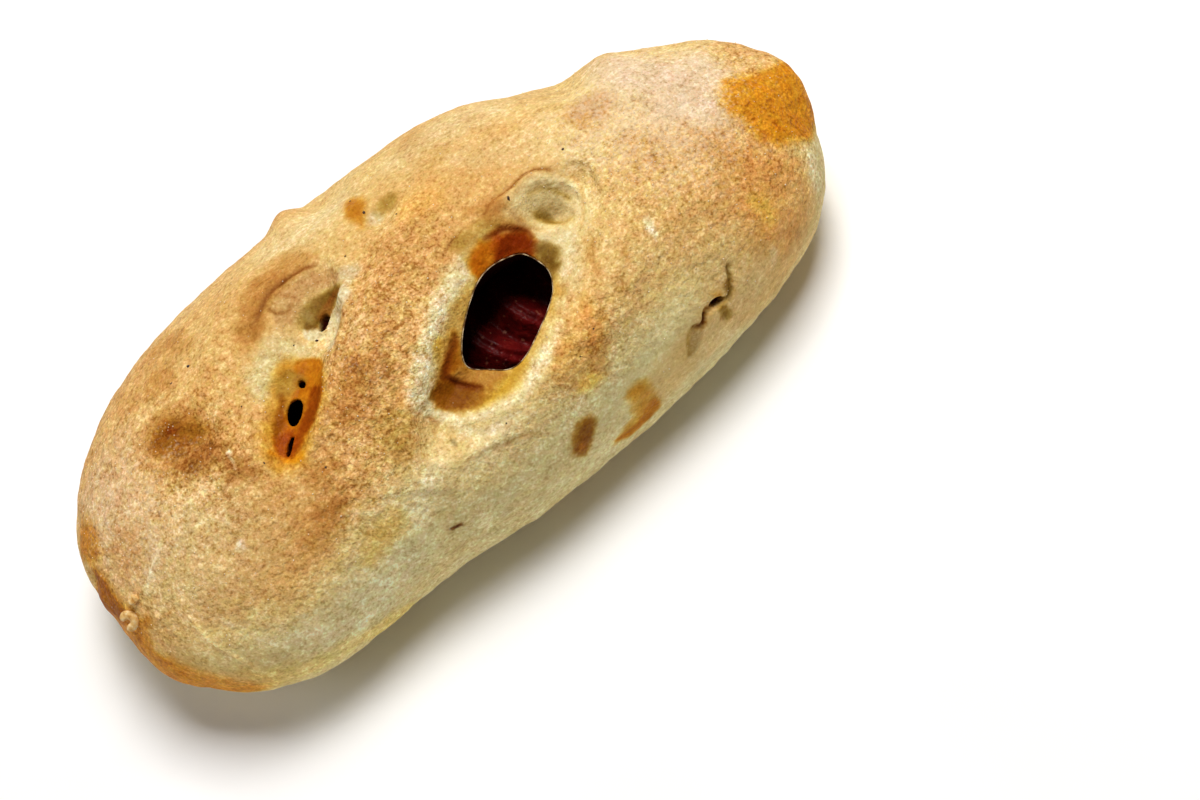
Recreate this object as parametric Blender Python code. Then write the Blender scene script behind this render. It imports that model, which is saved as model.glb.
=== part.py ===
"""A slashed, oven-baked bun rolled round a row of chorizo slices.

Sizes are in millimetres and angles in degrees; the finished meshes are scaled to metres.
+X runs along the roll, +Z is up, and -Y is the near side, which has browned least.
The bun lies on its flat base at z = 0, with its slashed side up.
"""

from math import cos, pi, radians, sin
from typing import NamedTuple

import bmesh
import bpy
import numpy as np
from mathutils import Euler, Matrix, Vector
from mathutils.bvhtree import BVHTree

MM = 0.001

# The loaf
HALF_LENGTH = 86.0
TOP_HEIGHT = 49.0
WIDE_LINE = 18.0  # height at which the loaf is widest
UNDER_DEPTH = 24.0  # how far below that line it would reach if the base weren't flat
PLAN_POWER = 2.6
ROOF_POWER = 2.2
FLOOR_POWER = 2.6
AXIS_Y = -2.0
NEAR_WIDTHS = ((-86, 48), (-62, 45), (-31, 37.5), (0, 38), (31, 37), (62, 38), (86, 40))
FAR_WIDTHS = ((-86, 39), (-62, 43), (-31, 43.5), (0, 43.5), (31, 41.5), (62, 31.5), (86, 36))
BASE_EASE = 1.5  # height over which the side turns into the flat base
BASE_FLAT = 0.3  # anything lower than this after the turn lies flat on the table
CORE_HALF_LENGTH = 48.0
CORE_HEIGHT = 22.0
RINGS = 56
SEGMENTS = 60
RING_CROWDING = 0.3
SEGMENT_CROWDING = 0.4  # both crowdings gather the faces round the slashes

# The tunnel and the filling
TUNNEL_Y = -6.0
TUNNEL_HEIGHT = 21.0
TUNNEL_HALF_LENGTH = 65.0
TUNNEL_HALF_WIDTH = 13.2
TUNNEL_HALF_HEIGHT = 12.3
TUNNEL_POWER = 8.0
TUNNEL_RINGS = 30
TUNNEL_SEGMENTS = 28
SLICE_RADIUS = 12.0
SLICE_THICKNESS = 7.4
SLICE_BEVEL = 1.3
SLICE_LEAN = 46.0
SLICE_PITCH = 9.9
SLICE_COUNT = 11
SLICE_SEGMENTS = 20
SLICE_LEAN_SPREAD = 3.0
SLICE_SPIN_SPREAD = 6.0
SLICE_SEED = 7

RIM = 1.4  # thickness of the crust left at a hole
CHAMBER_RISE = 1.8  # a chamber's dome is this much taller than the roof that cuts it off
CHAMBER_SINK = 0.3  # share of that height that it also goes down, into the tunnel
CHAMBER_RINGS = 16
CHAMBER_SEGMENTS = 24
PUNCH_ABOVE = 5.0
PUNCH_BELOW = 10.0
HOLE_POINTS = 20

BREAD_COLOUR = (0.56, 0.36, 0.18)
BREAD_ROUGHNESS = 0.75
BREAD_SHARP = 50.0  # edges that turn by more than this are drawn sharp
CHORIZO_COLOUR = (0.16, 0.02, 0.012)
CHORIZO_ROUGHNESS = 0.4
CHORIZO_SHARP = 40.0


class Slash(NamedTuple):
    """An almond-shaped valley where the dough was cut."""

    x: float
    girth: float
    turn: float
    half_length: float
    half_width: float
    depth: float


class Swell(NamedTuple):
    """An oval rise of the crust, or a dip where lift is negative."""

    x: float
    girth: float
    turn: float
    half_length: float
    half_width: float
    lift: float


class Hole(NamedTuple):
    """A rounded opening, set off from the middle of its slash."""

    along: float
    across: float
    turn: float
    half_length: float
    half_width: float
    power: float
    undercut: float


MAIN_SLASH = Slash(x=12, girth=66, turn=24, half_length=32, half_width=13, depth=6.5)
SMALL_SLASH = Slash(x=-25, girth=92, turn=45, half_length=22, half_width=8, depth=4.0)
MAIN_HOLE = Hole(along=0.3, across=-0.4, turn=-1, half_length=11.6, half_width=6.4, power=2.8, undercut=5.5)
SMALL_HOLE = Hole(along=-9.8, across=0, turn=0, half_length=2.9, half_width=1.6, power=2.0, undercut=3)

SWELLS = {
    "ridge between the slashes": Swell(-8, 88, 32, 34, 10, 2.4),
    "ridge on the near side": Swell(24, 48, 18, 27, 9, 1.6),
    "shoulder beyond the small slash": Swell(-33, 112, 45, 26, 9, 1.2),
    "crater": Swell(30, 86, 0, 7, 5.5, -2.6),
    "flap pit": Swell(-16, 96, 50, 6.5, 4, -2.4),
    "far pit": Swell(4, 112, 10, 5.5, 4, -1.6),
    "olive dent": Swell(-50, 96, 0, 8, 7, -1.2),
    "far step": Swell(42, 145, 0, 16, 20, -2.0),
    "far end bulge": Swell(60, 138, 0, 16, 20, 2.4),
    "far blister": Swell(-11, 148, 0, 6, 9, 2.2),
    "end corner": Swell(81, 95, 0, 12, 16, 2.4),
}


def through(stations, x):
    """A smooth curve through the given (place, size) pairs."""
    at = np.array([place for place, _ in stations], float)
    size = np.array([value for _, value in stations], float)
    slope = np.gradient(size, at)
    i = np.clip(np.searchsorted(at, x) - 1, 0, len(at) - 2)
    gap = at[i + 1] - at[i]
    t = np.clip((x - at[i]) / gap, 0, 1)
    start = (1 + 2 * t) * (1 - t) ** 2 * size[i] + t * (1 - t) ** 2 * gap * slope[i]
    end = t * t * (3 - 2 * t) * size[i + 1] + t * t * (t - 1) * gap * slope[i + 1]
    return start + end


def signed_power(value, exponent):
    return np.sign(value) * np.abs(value) ** exponent


def loaf(s, girth):
    """The smooth loaf: s runs from -1 to 1 along it, and girth from the near side over the top."""
    x = HALF_LENGTH * s
    narrowing = (1 - np.abs(s) ** PLAN_POWER) ** (1 / PLAN_POWER)
    c, d = np.cos(girth), np.sin(girth)
    exponent = 2 / np.where(d >= 0, ROOF_POWER, FLOOR_POWER)
    half_width = np.where(c >= 0, through(NEAR_WIDTHS, x), through(FAR_WIDTHS, x))
    half_height = np.where(d >= 0, TOP_HEIGHT - WIDE_LINE, UNDER_DEPTH)
    y = AXIS_Y - narrowing * half_width * signed_power(c, exponent)
    z = WIDE_LINE + narrowing * half_height * signed_power(d, exponent)
    return np.stack([x, y, z], axis=-1)


def outward(points):
    """Directions away from the roll's core, in which relief lifts the crust."""
    core = np.stack(
        [
            np.clip(points[..., 0], -CORE_HALF_LENGTH, CORE_HALF_LENGTH),
            np.full(points.shape[:-1], AXIS_Y),
            np.full(points.shape[:-1], CORE_HEIGHT),
        ],
        axis=-1,
    )
    away = points - core
    return away / np.linalg.norm(away, axis=-1, keepdims=True)


def axes_at(feature):
    """The feature's place on the loaf, with the directions along it, across it and out of the crust."""
    place = loaf(np.float64(feature.x / HALF_LENGTH), np.float64(radians(feature.girth)))
    out = outward(place)
    lengthwise = np.array([1.0, 0.0, 0.0]) - out * out[0]
    lengthwise /= np.linalg.norm(lengthwise)
    round_the_loaf = np.cross(out, lengthwise)
    turn = radians(feature.turn)
    along = cos(turn) * lengthwise + sin(turn) * round_the_loaf
    across = -sin(turn) * lengthwise + cos(turn) * round_the_loaf
    return place, along, across, out


def spread(points, feature):
    """How far each point lies along and across the feature, and whether it is on the feature's side."""
    place, along, across, out = axes_at(feature)
    reach = points - place
    return reach @ along, reach @ across, reach @ out > -feature.half_length


def slash_relief(points, slash):
    u, v, near = spread(points, slash)
    taper = np.sqrt(np.clip(1 - (u / slash.half_length) ** 2, 0, 1))
    inside = np.clip(1 - (v / np.maximum(slash.half_width * taper, 1e-6)) ** 2, 0, 1)
    return -slash.depth * near * taper * inside**1.5


def swell_relief(points, swell):
    u, v, near = spread(points, swell)
    oval = (u / swell.half_length) ** 2 + (v / swell.half_width) ** 2
    return swell.lift * near * np.clip(1 - oval, 0, 1) ** 2


def relief(points):
    total = slash_relief(points, MAIN_SLASH) + slash_relief(points, SMALL_SLASH)
    for swell in SWELLS.values():
        total += swell_relief(points, swell)
    return total


def press_base(points):
    """Presses everything below z = 0 flat, with a soft turn into the side."""
    z = points[:, 2]
    turn = np.clip(z + BASE_EASE, 0, None) ** 2 / (4 * BASE_EASE)
    height = np.where(z > BASE_EASE, z, turn)
    points[:, 2] = np.where(height < BASE_FLAT, 0, height)
    return points


def mesh_points(mesh):
    points = np.empty(len(mesh.vertices) * 3)
    mesh.vertices.foreach_get("co", points)
    return points.reshape(-1, 3)


def set_mesh_points(mesh, points):
    mesh.vertices.foreach_set("co", np.ascontiguousarray(points, float).ravel())
    mesh.update()


def new_material(name, colour, roughness):
    material = bpy.data.materials.new(name)
    material.use_nodes = True
    shader = material.node_tree.nodes["Principled BSDF"]
    shader.inputs["Base Color"].default_value = (*colour, 1)
    shader.inputs["Roughness"].default_value = roughness
    shader.inputs["Metallic"].default_value = 0
    material.diffuse_color = (*colour, 1)
    return material


def object_from(bm, name, collection):
    bmesh.ops.recalc_face_normals(bm, faces=bm.faces)
    mesh = bpy.data.meshes.new(name)
    bm.to_mesh(mesh)
    bm.free()
    thing = bpy.data.objects.new(name, mesh)
    collection.objects.link(thing)
    return thing


def lying_sphere(segments, rings):
    """A unit sphere with its poles on the X axis."""
    bm = bmesh.new()
    bmesh.ops.create_uvsphere(bm, u_segments=segments, v_segments=rings, radius=1)
    bmesh.ops.rotate(bm, verts=bm.verts, matrix=Matrix.Rotation(pi / 2, 3, "Y"))
    return bm


def make_crust(collection):
    crust = object_from(lying_sphere(SEGMENTS, RINGS), "bun", collection)
    unit = mesh_points(crust.data)
    ring = np.arccos(np.clip(-unit[:, 0], -1, 1))
    s = -np.cos(ring + RING_CROWDING * np.sin(2 * ring) / 2)
    turn = np.arctan2(unit[:, 2], -unit[:, 1])
    girth = turn + SEGMENT_CROWDING * np.cos(turn)
    points = loaf(s, girth)
    points += outward(points) * relief(points)[:, None]
    set_mesh_points(crust.data, press_base(points))
    return crust


def make_cutter(bm, name, collection):
    cutter = object_from(bm, name, collection)
    cutter.hide_render = True
    cutter.display_type = "WIRE"
    return cutter


def make_tunnel(collection):
    """The space that the filling takes, which runs almost the length of the roll."""
    tunnel = make_cutter(lying_sphere(TUNNEL_SEGMENTS, TUNNEL_RINGS), "tunnel_cutter", collection)
    unit = mesh_points(tunnel.data)
    s = unit[:, 0]
    narrowing = (1 - np.abs(s) ** TUNNEL_POWER) ** (1 / TUNNEL_POWER)
    turn = np.arctan2(unit[:, 2], unit[:, 1])
    points = np.stack(
        [
            TUNNEL_HALF_LENGTH * s,
            TUNNEL_Y + TUNNEL_HALF_WIDTH * narrowing * np.cos(turn),
            TUNNEL_HEIGHT + TUNNEL_HALF_HEIGHT * narrowing * np.sin(turn),
        ],
        axis=-1,
    )
    set_mesh_points(tunnel.data, points)
    return tunnel


def make_chamber(name, slash, hole, crust_tree, collection):
    """The hollow under a slash, a dome kept RIM below the crust so that only the hole opens it."""
    place, along, across, _ = axes_at(slash)
    middle = place + along * hole.along + across * hole.across
    foot = np.array((middle[0], (middle[1] + TUNNEL_Y) / 2, TUNNEL_HEIGHT))
    chamber = make_cutter(lying_sphere(CHAMBER_SEGMENTS, CHAMBER_RINGS), name, collection)
    unit = mesh_points(chamber.data)
    rise = np.where(unit[:, 2:] > 0, CHAMBER_RISE, CHAMBER_SINK)
    points = foot + unit[:, :1] * along * (hole.half_length + hole.undercut)
    points += unit[:, 1:2] * across * (hole.half_width + hole.undercut)
    points += unit[:, 2:] * rise * (middle - foot)
    for point in points:
        sky = Vector((point[0], point[1], 2 * TOP_HEIGHT))
        roof = crust_tree.ray_cast(sky, Vector((0, 0, -1)))[0]
        point[2] = min(point[2], roof.z - RIM)
    set_mesh_points(chamber.data, points)
    return chamber


def make_punch(name, slash, hole, collection):
    """A prism of the hole's outline that goes through the crust into the chamber."""
    place, along, across, out = axes_at(slash)
    turn = radians(hole.turn)
    long_way = Vector(cos(turn) * along + sin(turn) * across)
    wide_way = Vector(-sin(turn) * along + cos(turn) * across)
    middle = Vector(place + along * hole.along + across * hole.across)
    bm = bmesh.new()
    rim = []
    for k in range(HOLE_POINTS):
        t = 2 * pi * k / HOLE_POINTS
        u = hole.half_length * float(signed_power(cos(t), 2 / hole.power))
        v = hole.half_width * float(signed_power(sin(t), 2 / hole.power))
        rim.append(bm.verts.new(middle + u * long_way + v * wide_way + PUNCH_ABOVE * Vector(out)))
    face = bm.faces.new(rim)
    pushed = bmesh.ops.extrude_face_region(bm, geom=[face])["geom"]
    moved = [item for item in pushed if isinstance(item, bmesh.types.BMVert)]
    bmesh.ops.translate(bm, verts=moved, vec=-(PUNCH_ABOVE + PUNCH_BELOW) * Vector(out))
    return make_cutter(bm, name, collection)


def cut(thing, cutter):
    modifier = thing.modifiers.new(cutter.name, "BOOLEAN")
    modifier.operation = "DIFFERENCE"
    modifier.object = cutter


def join(thing, other):
    modifier = thing.modifiers.new(other.name, "BOOLEAN")
    modifier.operation = "UNION"
    modifier.object = other


def make_slice(name, x, lean, spin, collection):
    """One round slice of sausage with softened edges, leaning along the row."""
    bm = bmesh.new()
    bmesh.ops.create_cone(
        bm,
        cap_ends=True,
        segments=SLICE_SEGMENTS,
        radius1=SLICE_RADIUS,
        radius2=SLICE_RADIUS,
        depth=SLICE_THICKNESS,
    )
    half_side = SLICE_THICKNESS / 2
    rims = [edge for edge in bm.edges if abs(edge.verts[0].co.z - edge.verts[1].co.z) < half_side]
    bmesh.ops.bevel(bm, geom=rims, offset=SLICE_BEVEL, segments=1, affect="EDGES")
    tilt = Euler((0, radians(90 - lean), radians(spin))).to_matrix()
    bmesh.ops.rotate(bm, verts=bm.verts, matrix=tilt)
    bmesh.ops.translate(bm, verts=bm.verts, vec=(x, TUNNEL_Y, TUNNEL_HEIGHT))
    return make_cutter(bm, name, collection)


def make_filling(collection, helpers):
    """The row of overlapping slices, fused into one solid."""
    draw = np.random.default_rng(SLICE_SEED)
    slices = []
    for k in range(SLICE_COUNT):
        x = SLICE_PITCH * (k - (SLICE_COUNT - 1) / 2)
        lean = SLICE_LEAN + draw.uniform(-SLICE_LEAN_SPREAD, SLICE_LEAN_SPREAD)
        spin = draw.uniform(-SLICE_SPIN_SPREAD, SLICE_SPIN_SPREAD)
        slices.append(make_slice(f"slice_{k:02d}", x, lean, spin, helpers))
    filling = bpy.data.objects.new("chorizo", slices[0].data.copy())
    collection.objects.link(filling)
    for other in slices[1:]:
        join(filling, other)
    return filling


def apply_modifiers(thing):
    """Bakes the modifiers into the mesh, so that cutters and spare slices can go."""
    graph = bpy.context.evaluated_depsgraph_get()
    mesh = bpy.data.meshes.new_from_object(thing.evaluated_get(graph))
    thing.modifiers.clear()
    thing.data = mesh
    mesh.name = thing.name


def finish(thing, material, sharp_angle):
    thing.data.transform(Matrix.Scale(MM, 4))
    thing.data.materials.clear()
    thing.data.materials.append(material)
    thing.data.shade_smooth()
    thing.data.set_sharp_from_angle(angle=radians(sharp_angle))


def main():
    for thing in list(bpy.data.objects):
        bpy.data.objects.remove(thing)
    parts = bpy.data.collections.new("chorizo_bun")
    helpers = bpy.data.collections.new("cutters")
    helpers.hide_render = True
    bpy.context.scene.collection.children.link(parts)
    bpy.context.scene.collection.children.link(helpers)

    crust = make_crust(parts)
    bpy.context.view_layer.update()
    tree = BVHTree.FromObject(crust, bpy.context.evaluated_depsgraph_get())
    cut(crust, make_tunnel(helpers))
    for size, slash, hole in (("main", MAIN_SLASH, MAIN_HOLE), ("small", SMALL_SLASH, SMALL_HOLE)):
        cut(crust, make_chamber(size + "_chamber", slash, hole, tree, helpers))
        cut(crust, make_punch(size + "_punch", slash, hole, helpers))
    filling = make_filling(parts, helpers)
    bpy.context.view_layer.update()
    apply_modifiers(crust)
    apply_modifiers(filling)
    for helper in list(helpers.objects):
        bpy.data.objects.remove(helper)
    bpy.data.collections.remove(helpers)

    finish(crust, new_material("baked_crust", BREAD_COLOUR, BREAD_ROUGHNESS), BREAD_SHARP)
    finish(filling, new_material("chorizo_meat", CHORIZO_COLOUR, CHORIZO_ROUGHNESS), CHORIZO_SHARP)


main()
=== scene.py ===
"""The looks of the chorizo bun: its crust, its filling, loose crumbs, and the table, light and camera.

Shapes are worked out in millimetres in the part's own frame and scaled to metres at the end.
+X runs along the roll, +Z is up and -Y is the near side. A place on the crust is given by its
x and by its girth, the angle round the loaf from the near side (0) over the top (90) to the far side (180).
"""

import itertools
from math import cos, pi, radians, sin
from typing import NamedTuple

import bmesh
import bpy
import numpy as np
from mathutils import Euler, Matrix, Vector
from mathutils.bvhtree import BVHTree


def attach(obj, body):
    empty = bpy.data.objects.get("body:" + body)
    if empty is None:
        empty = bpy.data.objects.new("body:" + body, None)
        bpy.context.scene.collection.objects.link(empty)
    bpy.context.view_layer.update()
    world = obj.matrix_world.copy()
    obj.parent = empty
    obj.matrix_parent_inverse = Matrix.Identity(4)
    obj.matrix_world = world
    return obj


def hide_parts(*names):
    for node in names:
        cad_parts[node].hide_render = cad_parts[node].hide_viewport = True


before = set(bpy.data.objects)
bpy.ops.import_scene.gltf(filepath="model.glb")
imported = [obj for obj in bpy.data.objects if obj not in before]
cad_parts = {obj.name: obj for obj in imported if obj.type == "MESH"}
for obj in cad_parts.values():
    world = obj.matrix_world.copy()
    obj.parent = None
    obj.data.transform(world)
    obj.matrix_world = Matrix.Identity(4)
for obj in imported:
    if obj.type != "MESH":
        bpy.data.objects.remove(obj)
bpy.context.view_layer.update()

MM = 0.001
TINY = 1e-6

# The loaf, as in the part
HALF_LENGTH = 86.0
TOP_HEIGHT = 49.0
WIDE_LINE = 18.0
UNDER_DEPTH = 24.0
PLAN_POWER = 2.6
ROOF_POWER = 2.2
FLOOR_POWER = 2.6
AXIS_Y = -2.0
NEAR_WIDTHS = ((-86, 48), (-62, 45), (-31, 37.5), (0, 38), (31, 37), (62, 38), (86, 40))
FAR_WIDTHS = ((-86, 39), (-62, 43), (-31, 43.5), (0, 43.5), (31, 41.5), (62, 31.5), (86, 36))
BASE_EASE = 1.5
CORE_HALF_LENGTH = 48.0
CORE_HEIGHT = 22.0

# The tunnel and the filling, as in the part
TUNNEL_Y = -6.0
TUNNEL_HEIGHT = 21.0
TUNNEL_HALF_LENGTH = 65.0
TUNNEL_HALF_WIDTH = 13.2
TUNNEL_HALF_HEIGHT = 12.3
TUNNEL_POWER = 8.0
SLICE_RADIUS = 12.0
SLICE_THICKNESS = 7.4
SLICE_BEVEL = 1.3
SLICE_LEAN = 46.0
SLICE_PITCH = 9.9
SLICE_COUNT = 11
SLICE_LEAN_SPREAD = 3.0
SLICE_SPIN_SPREAD = 6.0
SLICE_SEED = 7

# Fineness of the meshes
RINGS = 460
SEGMENTS = 400
RING_CROWDING = 0.3
SEGMENT_CROWDING = 0.4
VOXEL = 0.4
CRUST_TRIANGLES = 196000
FILLING_VOXEL = 0.5
FILLING_TRIANGLES = 50000
TUNNEL_MESH = (48, 60)
CHAMBER_MESH = (96, 64)
PIT_MESH = (24, 16)
PUNCH_POINTS = 96
OVAL_POINTS = 32
SLICE_SEGMENTS = 72

# The hollows under the slashes, with the thickness of the crust that stays over them
RIM = 1.0
CHAMBER_RISE = 1.8
CHAMBER_SINK = 0.3
PUNCH_ABOVE = 5.0
PUNCH_BELOW = 10.0


class Oval(NamedTuple):
    """An oval place on the crust, with how much it rises there or how strong it is."""

    x: float
    girth: float
    turn: float
    half_length: float
    half_width: float
    amount: float = 0


class Hole(NamedTuple):
    """An opening in a slash, placed by the slash's own directions."""

    along: float
    across: float
    turn: float
    half_length: float
    half_width: float


class Fold(NamedTuple):
    """A crease along (x, girth) points, with its own tone.

    One side stands higher by rise over reach, and a groove, or a ridge where it is negative, runs between.
    """

    rise: float
    reach: float
    groove: float
    groove_width: float
    tone: tuple
    strength: float
    tone_width: float
    points: tuple


class Blot(NamedTuple):
    """A patch of crust with its own tone, on an Oval or inside a closed line of (x, girth) points."""

    tone: tuple
    strength: float
    blur: float
    gloss: float
    place: tuple


# Tones, as a screen shows them from 0 to 255
PALE = (228, 212, 150)
CREAM = (234, 215, 156)
PALE_CREAM = (228, 206, 156)
BRIGHT = (244, 230, 178)
# A pale fibre's tone, raised as painted light on the shaded near side
FIBRE_AND_LIGHT = (255, 226, 150)
VALLEY = (216, 198, 140)
GREY_CREAM = (206, 190, 150)
STRAW = (226, 195, 124)
TAN = (216, 169, 98)
GOLD = (222, 168, 84)
WARM_TAN = (224, 158, 78)
DULL_TAN = (186, 142, 84)
LIGHT_BROWN = (198, 146, 78)
BROWN = (180, 122, 54)
DARK_BROWN = (140, 84, 28)
RUST = (168, 100, 36)
PINK_FLOUR = (216, 182, 140)
PINK_WHITE = (218, 188, 156)
FLOUR_WHITE = (238, 220, 186)
OLIVE = (170, 150, 98)
DARK_OLIVE = (112, 80, 22)
OLIVE_BROWN = (158, 120, 44)
GREEN_CREAM = (238, 216, 156)
PALE_VALLEY = (224, 208, 158)
OCHRE = (204, 146, 42)
AMBER = (214, 168, 74)
YELLOW_AMBER = (188, 138, 30)
SUNNY = (238, 196, 78)
YELLOW_STRAW = (238, 208, 112)
ORANGE = (188, 110, 14)
BRIGHT_ORANGE = (222, 140, 18)
PATCH_ORANGE = (208, 130, 18)
OLIVE_RUST = (134, 78, 12)
SPOT_BROWN = (98, 50, 8)
OIL_BROWN = (128, 64, 4)
OIL_RED = (110, 28, 2)
OIL_DARK = (84, 26, 2)
RED_BROWN = (136, 58, 5)
CARAMEL = (184, 112, 22)
AMBER_BROWN = (206, 134, 36)
HOT_ORANGE = (206, 108, 14)
BURNT_ORANGE = (166, 72, 6)
POCKET_BROWN = (134, 74, 10)
# The cream of the ring's left wall, raised as painted light falling on it
WALL_CREAM_LIT = (248, 236, 188)
POCKET_OLIVE = (130, 102, 28)
SKIN_WHITE = (228, 216, 172)
# Painted shade: the dark line down the bottom of a crease or wrinkle
CREASE_SHADE = (128, 74, 26)

# The two slashes, as in the part
MAIN_SLASH = Oval(12, 66, 24, 32, 13, amount=-6.5)
SMALL_SLASH = Oval(-25, 92, 45, 22, 8, amount=-4.0)

# The main hole's rim, (along, across) of the main slash
MAIN_RIM = (
    (11, 1.9), (10.8, -2.8), (8.4, -5.3), (4.9, -6.4), (-0.6, -6.9), (-6.3, -6.9), (-9.6, -5.6),
    (-11.6, -2.4), (-13.2, 1), (-11.9, 3.3), (-7.9, 5.4), (-2.3, 6.9), (2, 7.4), (5.4, 6.7), (8.6, 4.7),
)
MAIN_CHAMBER = Hole(along=-1.0, across=0.2, turn=0, half_length=17.5, half_width=12.0)
SMALL_CHAMBER = Hole(along=-9.8, across=0, turn=0, half_length=7.5, half_width=4.0)
SMALL_HOLES = (
    Hole(along=-9.2, across=0.4, turn=6, half_length=2.9, half_width=1.6),
    Hole(along=-3.2, across=0.5, turn=40, half_length=1.0, half_width=0.7),
    Hole(along=-16.2, across=-0.1, turn=-4, half_length=2.5, half_width=0.6),
)

# Swells and dents, as in the part
SWELLS = {
    "ridge between the slashes": Oval(-8, 88, 32, 34, 10, 2.4),
    "ridge on the near side": Oval(24, 48, 18, 27, 9, 1.6),
    "shoulder beyond the small slash": Oval(-33, 112, 45, 26, 9, 1.2),
    "crater": Oval(30, 86, 0, 7, 5.5, -2.6),
    "flap pit": Oval(-16, 96, 50, 6.5, 4, -2.4),
    "far pit": Oval(4, 112, 10, 5.5, 4, -1.6),
    "olive dent": Oval(-50, 96, 0, 8, 7, -1.2),
    "far step": Oval(42, 145, 0, 16, 20, -2.0),
    "far end bulge": Oval(60, 138, 0, 16, 20, 2.4),
    "far blister": Oval(-11, 148, 0, 6, 9, 2.2),
    "end corner": Oval(81, 95, 0, 12, 16, 2.4),
}


def through(stations, x):
    """A smooth curve through the given (place, size) pairs."""
    at = np.array([place for place, _ in stations], float)
    size = np.array([value for _, value in stations], float)
    slope = np.gradient(size, at)
    i = np.clip(np.searchsorted(at, x) - 1, 0, len(at) - 2)
    gap = at[i + 1] - at[i]
    t = np.clip((x - at[i]) / gap, 0, 1)
    start = (1 + 2 * t) * (1 - t) ** 2 * size[i] + t * (1 - t) ** 2 * gap * slope[i]
    end = t * t * (3 - 2 * t) * size[i + 1] + t * t * (t - 1) * gap * slope[i + 1]
    return start + end


def signed_power(value, exponent):
    return np.sign(value) * np.abs(value) ** exponent


def smoothstep(low, high, value):
    t = np.clip((value - low) / (high - low), 0, 1)
    return t * t * (3 - 2 * t)


def section(s, near, above):
    """Half the loaf's width and height at s, and the power of its outline there."""
    x = HALF_LENGTH * s
    narrowing = (1 - np.abs(s) ** PLAN_POWER) ** (1 / PLAN_POWER)
    half_width = narrowing * np.where(near, through(NEAR_WIDTHS, x), through(FAR_WIDTHS, x))
    half_height = narrowing * np.where(above, TOP_HEIGHT - WIDE_LINE, UNDER_DEPTH)
    return half_width, half_height, np.where(above, ROOF_POWER, FLOOR_POWER)


def loaf(s, girth):
    """The smooth loaf: s runs from -1 to 1 along it, and girth from the near side over the top."""
    c, d = np.cos(girth), np.sin(girth)
    half_width, half_height, power = section(s, c >= 0, d >= 0)
    y = AXIS_Y - half_width * signed_power(c, 2 / power)
    z = WIDE_LINE + half_height * signed_power(d, 2 / power)
    return np.stack([HALF_LENGTH * s, y, z], axis=-1)


def girth_of(points):
    """The girth in degrees of points on the smooth loaf."""
    s = np.clip(points[:, 0] / HALF_LENGTH, -0.999, 0.999)
    aside, above = AXIS_Y - points[:, 1], points[:, 2] - WIDE_LINE
    half_width, half_height, power = section(s, aside >= 0, above >= 0)
    c = signed_power(aside / half_width, power / 2)
    return np.degrees(np.arctan2(signed_power(above / half_height, power / 2), c))


def outward(points):
    """Directions away from the roll's core, in which relief lifts the crust."""
    core = np.stack(
        [
            np.clip(points[..., 0], -CORE_HALF_LENGTH, CORE_HALF_LENGTH),
            np.full(points.shape[:-1], AXIS_Y),
            np.full(points.shape[:-1], CORE_HEIGHT),
        ],
        axis=-1,
    )
    away = points - core
    return away / np.linalg.norm(away, axis=-1, keepdims=True)


def spot(x, girth):
    return loaf(np.float64(x / HALF_LENGTH), np.float64(radians(girth)))


def axes_at(feature):
    """The feature's place on the loaf, with the directions along it, across it and out of the crust."""
    place = spot(feature.x, feature.girth)
    out = outward(place)
    lengthwise = np.array([1.0, 0.0, 0.0]) - out * out[0]
    lengthwise /= np.linalg.norm(lengthwise)
    round_the_loaf = np.cross(out, lengthwise)
    turn = radians(feature.turn)
    along = cos(turn) * lengthwise + sin(turn) * round_the_loaf
    across = -sin(turn) * lengthwise + cos(turn) * round_the_loaf
    return place, along, across, out


def over_slash(slash, outline, height):
    """The points of an outline, given along and across the slash, at a height over the loaf."""
    place, along, across, out = axes_at(slash)
    u, v = np.split(np.array(outline), 2, axis=1)
    return place + u * along + v * across + height * out


def spread(points, feature):
    """How far each point lies along and across the feature, and whether it is on the feature's side."""
    place, along, across, out = axes_at(feature)
    reach = points - place
    return reach @ along, reach @ across, reach @ out > -feature.half_length


def slash_relief(points, slash):
    u, v, near = spread(points, slash)
    taper = np.sqrt(np.clip(1 - (u / slash.half_length) ** 2, 0, 1))
    inside = np.clip(1 - (v / np.maximum(slash.half_width * taper, TINY)) ** 2, 0, 1)
    return slash.amount * near * taper * inside**1.5


def bell(points, oval):
    """A soft hill over the oval, from 1 in its middle to 0 at its edge."""
    u, v, near = spread(points, oval)
    return near * np.clip(1 - (u / oval.half_length) ** 2 - (v / oval.half_width) ** 2, 0, 1) ** 2


def hills(points, ovals, total=0):
    return sum((oval.amount * bell(points, oval) for oval in ovals), total)


def patch(points, oval, softness):
    """A field over the oval, even in its middle and fading out over the given share of it."""
    u, v, near = spread(points, oval)
    away = np.sqrt((u / oval.half_length) ** 2 + (v / oval.half_width) ** 2)
    return near * (1 - smoothstep(1 - softness, 1 + softness, away))


LATTICE = 32


def value_noise(points, size, seed):
    """Smooth random values from -1 to 1 that change over the given size."""
    grid = np.random.default_rng(seed).random((LATTICE, LATTICE, LATTICE))
    turned = points @ np.array(Euler((0.5 + seed, 1.1, 0.3 * seed)).to_matrix()) / size
    base = np.floor(turned).astype(int)
    t = turned - base
    t = t * t * (3 - 2 * t)
    total = np.zeros(points.shape[:-1])
    for corner in itertools.product((0, 1), repeat=3):
        weight = np.prod(np.where(corner, t, 1 - t), axis=-1)
        i, j, k = np.moveaxis((base + corner) % LATTICE, -1, 0)
        total += weight * grid[i, j, k]
    return 2 * total - 1


def cloudy(points, size, seed, octaves=3):
    """Several scales of noise, each half the size and strength of the one before."""
    total = sum(0.5**k * value_noise(points, size * 0.5**k, seed + k) for k in range(octaves))
    return total / (2 - 0.5 ** (octaves - 1))


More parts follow.
